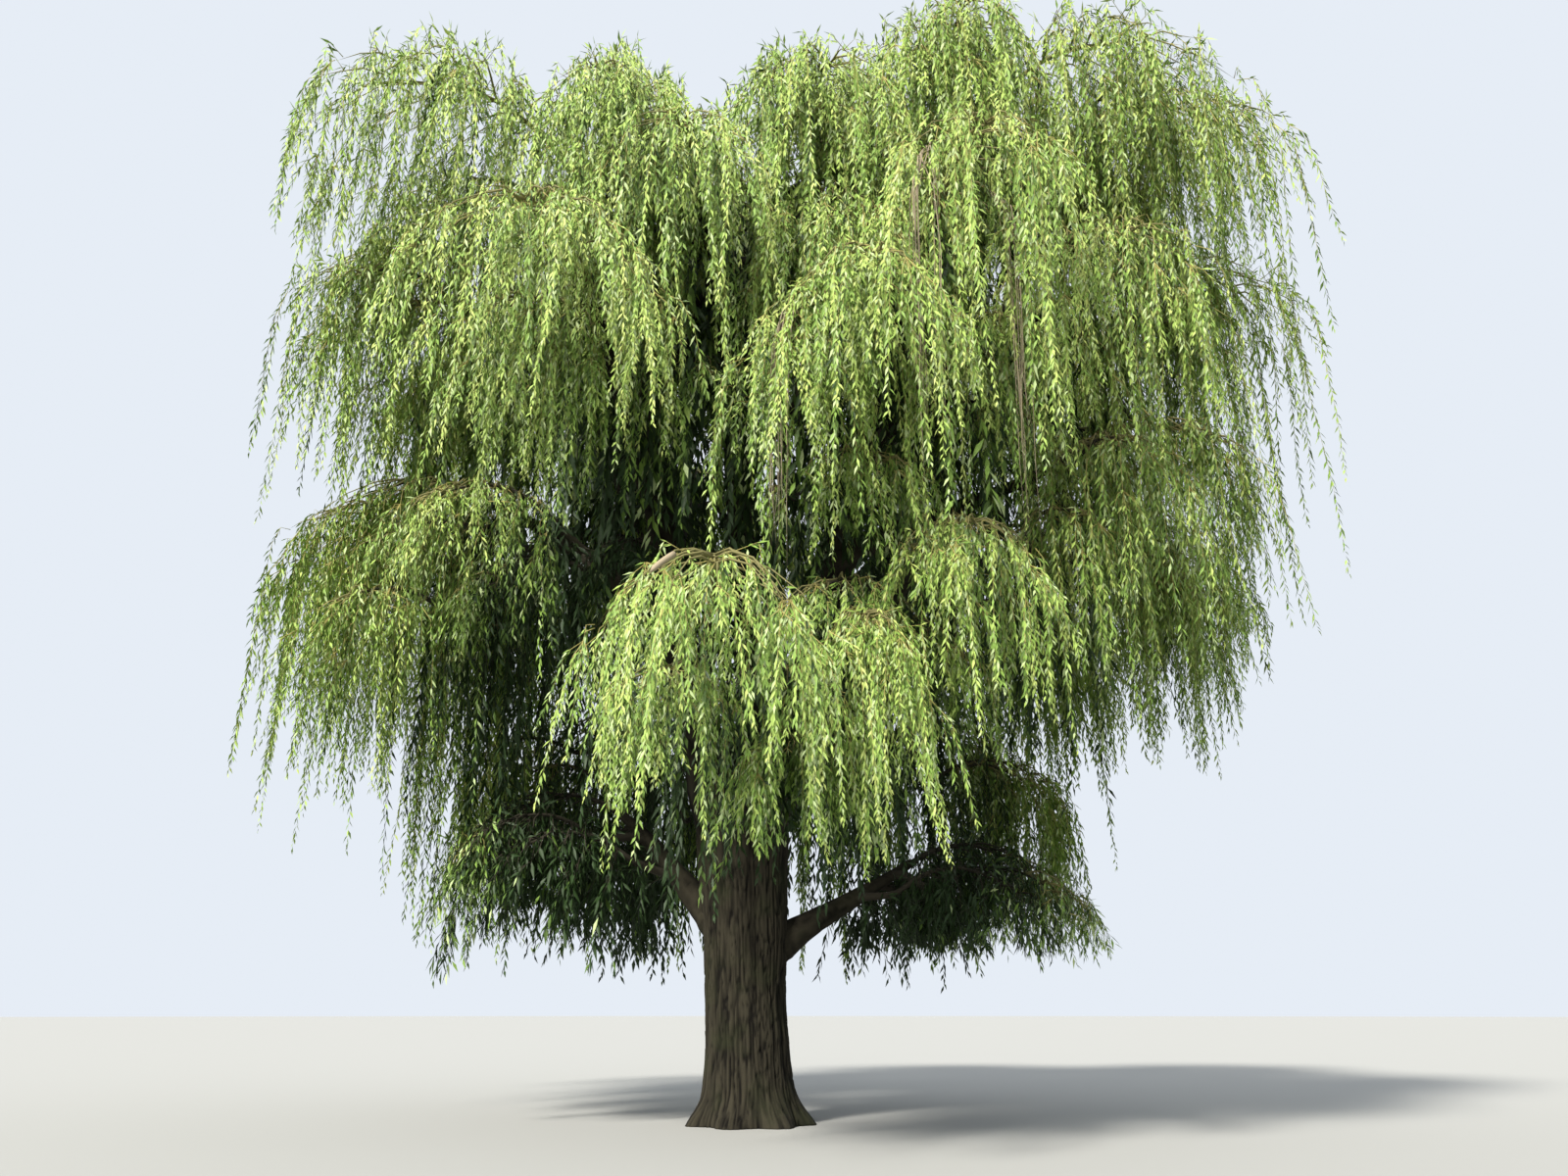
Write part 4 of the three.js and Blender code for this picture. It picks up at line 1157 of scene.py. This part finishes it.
class WILLOW_OT_add_foliage(bpy.types.Operator):
    """Grow the stems, arms, hanging shoots and leaves of each part of the crown"""

    bl_idname = "willow.add_foliage"
    bl_label = "Add Foliage"

    def execute(self, context):
        settings = context.scene.willow_foliage
        bark = context.scene.willow_bark
        leaves = leaf_materials(settings)
        twigs = [
            plain_material("twig_bark", bark.twig_colour, *ARM_FINISH),
            plain_material("shoot_bark", bark.shoot_colour, *SHOOT_FINISH),
            # dark bark of the side boughs, also painted shade on twigs deep in the crown's shade
            plain_material("side_bough_and_painted_shade_bark", bark.ridge_colour_with_painted_shade, *SIDE_BOUGH_FINISH),
        ]
        limbs = grow_limbs()
        for part, names in CROWN_PARTS.items():
            grown = [limbs[name] for name in names]
            nodes = [f"foliage_{name}" for name in names]
            for piece in self.grow_part(part, grown, limbs, settings, leaves, twigs):
                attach(piece, "root")
                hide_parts(*nodes)
        return {"FINISHED"}

    def grow_part(self, part, grown, limbs, settings, leaves, twigs):
        """The twigs and then the leaves of one part of the crown, each joined into one piece."""
        long = Shoots(*LONG_COURSE)
        sprays = Shoots(*FINE_COURSE)
        inner = Shoots(*FINE_COURSE)
        spurs = Shoots(*SPUR_COURSE)
        arms = []
        sides = [bough for limb in grown for bough in side_boughs_of(limb, limbs)]
        for limb in grown + sides:
            hang_from_stem(long, limb, settings.shoots_per_metre)
            spread_over_stem(spurs, limb, settings.spurs_per_metre)
            scale = np.interp(limb.top, LEAF_SCALE_HEIGHTS, (1, settings.inner_scale))
            hang_from_bough(inner, limb, settings.inner_per_metre, scale)
            for arm in arms_of(limb):
                hang_from_arm(long, limb, arm, settings.shoots_per_metre)
                spread_over_arm(spurs, limb, arm, settings.spurs_per_metre)
                path = arm_points(arm, np.linspace(0, 1, ARM_POINTS))
                path[1:] += growth_seed.normal(0, ARM_WANDER, (ARM_POINTS - 1, 3))
                arms.append(path)
        wood = Joined()
        greens = Joined()
        self.add_branches(wood, grown, sides, np.array(arms))
        radii = (settings.shoot_radius, settings.shoot_radius * SHOOT_TAPER)
        sizes = (settings.leaf_length, settings.leaf_width, settings.leaf_gap)
        for shoots in (long, sprays, spurs, inner):
            points, sideways, depth, scale = clear_shoots(shoots, limbs)
            if shoots is long:
                start_sprays(sprays, points, scale)
            wood.add(*tubes(points, radii, sideways, SHOOT_SIDES), bark_of(depth, SHOOT_BARK))
            greens.add(*leaf_arrays(points, depth, scale, *sizes))
        yield mesh_object(f"twigs_{part}", *wood.arrays(), twigs)
        yield mesh_object(f"leaves_{part}", *greens.arrays(), leaves)

    def add_branches(self, wood, grown, sides, arms):
        """The stems, side boughs and arms of one part of the crown."""
        # Stems and arms deep in the crown's shade get the dark bark as painted shade; side boughs always
        # have it.
        stems = np.array([limb.stem_points(STEM_SHARES) for limb in grown])
        across = np.cross(UP, [limb.outward for limb in grown])
        wood.add(*tubes(stems, STEM_RADII, across, STEM_SIDES), bark_of(shade_at(stems[:, 0]), ARM_BARK))
        boughs = [bough.points(BOUGH_SHARES) for bough in sides]
        stems = [bough.stem_points(STEM_SHARES) for bough in sides]
        paths = np.concatenate((boughs, stems), axis=1)
        across = np.cross(UP, [bough.outward for bough in sides])
        wood.add(*tubes(paths, SIDE_RADII, across, STEM_SIDES), SHADED_BARK)
        across = unit(np.cross(UP, arms[:, 1] - arms[:, 0]))
        wood.add(*tubes(arms, ARM_RADII, across, ARM_SIDES), bark_of(shade_at(arms[:, 0]), ARM_BARK))


class WILLOW_OT_add_dead_twigs(bpy.types.Operator):
    """Hang bare dead twigs in the front drapes, and break one arm off short"""

    bl_idname = "willow.add_dead_twigs"
    bl_label = "Add Dead Twigs"

    def execute(self, context):
        colour = context.scene.willow_bark.dead_colour
        limbs = grow_limbs()
        wood = Joined()
        for name, number, lowest in DEAD_TWIGS:
            arm = arms_of(limbs[name])[number]
            starts = arm_points(arm, drawn(DEAD_SHARES, DEAD_COUNT))
            headings = turned(arm[1], drawn(DEAD_TURNS, DEAD_COUNT))
            drops = (starts[:, 2] - lowest) * drawn(DEAD_FALLS, DEAD_COUNT)
            swings = drawn(DEAD_SWINGS, DEAD_COUNT)
            axes = np.tile(starts.mean(axis=0), (DEAD_COUNT, 1))
            pull = drawn(DEAD_PULL, DEAD_COUNT)
            twigs = Shoots(*LONG_COURSE)
            twigs.add(starts, headings, drops, swings, DEAD_LIFT * swings, 0 * drops, 1, (axes, pull))
            points, sideways = twigs.joined()[:2]
            wood.add(*tubes(points, DEAD_RADII, sideways, SHOOT_SIDES), 0)
        name, number = STUB_ARM
        arm = arms_of(limbs[name])[number]
        stub = arm_points(arm, STUB_SHARES)[None]
        wood.add(*tubes(stub, STUB_RADII, np.cross(UP, arm[1])[None], STUB_SIDES), 0)
        bark = plain_material("dead_bark", colour, *DEAD_FINISH)
        piece = mesh_object("dead_twigs", *wood.arrays(), [bark])
        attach(piece, "root")
        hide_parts(*{f"foliage_{row[0]}": None for row in (*DEAD_TWIGS, STUB_ARM)})
        return {"FINISHED"}


class WILLOW_OT_set_stage(bpy.types.Operator):
    """Set the pale floor, the soft light and the camera"""

    bl_idname = "willow.set_stage"
    bl_label = "Set Stage"

    def execute(self, context):
        settings = context.scene.willow_stage
        bpy.ops.object.select_all(action="DESELECT")
        bpy.ops.mesh.primitive_circle_add(vertices=FLOOR_SIDES, radius=FLOOR_RADIUS, fill_type="NGON")
        floor = context.object
        floor.name = "floor"
        floor.data.materials.append(plain_material("floor", settings.floor_colour, *FLOOR_FINISH))

        world = bpy.data.worlds.new("surround")
        world.use_nodes = True
        background = world.node_tree.nodes["Background"]
        background.inputs["Color"].default_value = (*settings.sky_colour, 1)
        background.inputs["Strength"].default_value = settings.sky_strength
        context.scene.world = world
        context.scene.view_settings.view_transform = "Standard"

        bpy.ops.object.light_add(type="SUN", location=SUN_PLACE)
        sun = context.object
        sun.name = "key_light"
        sun.data.energy = settings.sun_strength
        sun.data.angle = math.radians(SUN_WIDTH)
        sun.data.color = SUN_COLOUR
        sun.rotation_euler = [math.radians(turn) for turn in SUN_TURN]

        bpy.ops.object.camera_add(location=CAMERA_PLACE)
        camera = context.object
        camera.name = "camera"
        camera.rotation_euler = (math.radians(90 + CAMERA_TILT), 0, 0)
        camera.data.sensor_width = CAMERA_SENSOR
        camera.data.lens = CAMERA_LENS
        camera.data.clip_end = CAMERA_FAR
        context.scene.camera = camera
        return {"FINISHED"}


class WILLOW_PT_panel(bpy.types.Panel):
    """Sizes, colours and pieces of the willow"""

    bl_idname = "WILLOW_PT_panel"
    bl_label = "Willow"
    bl_space_type = "VIEW_3D"
    bl_region_type = "UI"
    bl_category = "Willow"

    def draw(self, context):
        for title, settings in (
            ("Foliage", context.scene.willow_foliage),
            ("Bark", context.scene.willow_bark),
            ("Stage", context.scene.willow_stage),
        ):
            box = self.layout.box()
            box.label(text=title)
            for name in settings.__annotations__:
                box.prop(settings, name)
        for operator in OPERATORS:
            self.layout.operator(operator.bl_idname)


SETTINGS = {
    "willow_foliage": WillowFoliageSettings,
    "willow_bark": WillowBarkSettings,
    "willow_stage": WillowStageSettings,
}
OPERATORS = (
    WILLOW_OT_add_trunk,
    WILLOW_OT_add_boughs,
    WILLOW_OT_add_foliage,
    WILLOW_OT_add_dead_twigs,
    WILLOW_OT_set_stage,
)
CLASSES = (*SETTINGS.values(), *OPERATORS, WILLOW_PT_panel)


def register():
    for cls in CLASSES:
        bpy.utils.register_class(cls)
    for name, cls in SETTINGS.items():
        setattr(bpy.types.Scene, name, bpy.props.PointerProperty(type=cls))


def unregister():
    for name in SETTINGS:
        delattr(bpy.types.Scene, name)
    for cls in reversed(CLASSES):
        bpy.utils.unregister_class(cls)


def main():
    register()
    bpy.ops.willow.add_trunk()
    bpy.ops.willow.add_boughs()
    bpy.ops.willow.add_foliage()
    bpy.ops.willow.add_dead_twigs()
    bpy.ops.willow.set_stage()


if __name__ == "__main__":
    main()
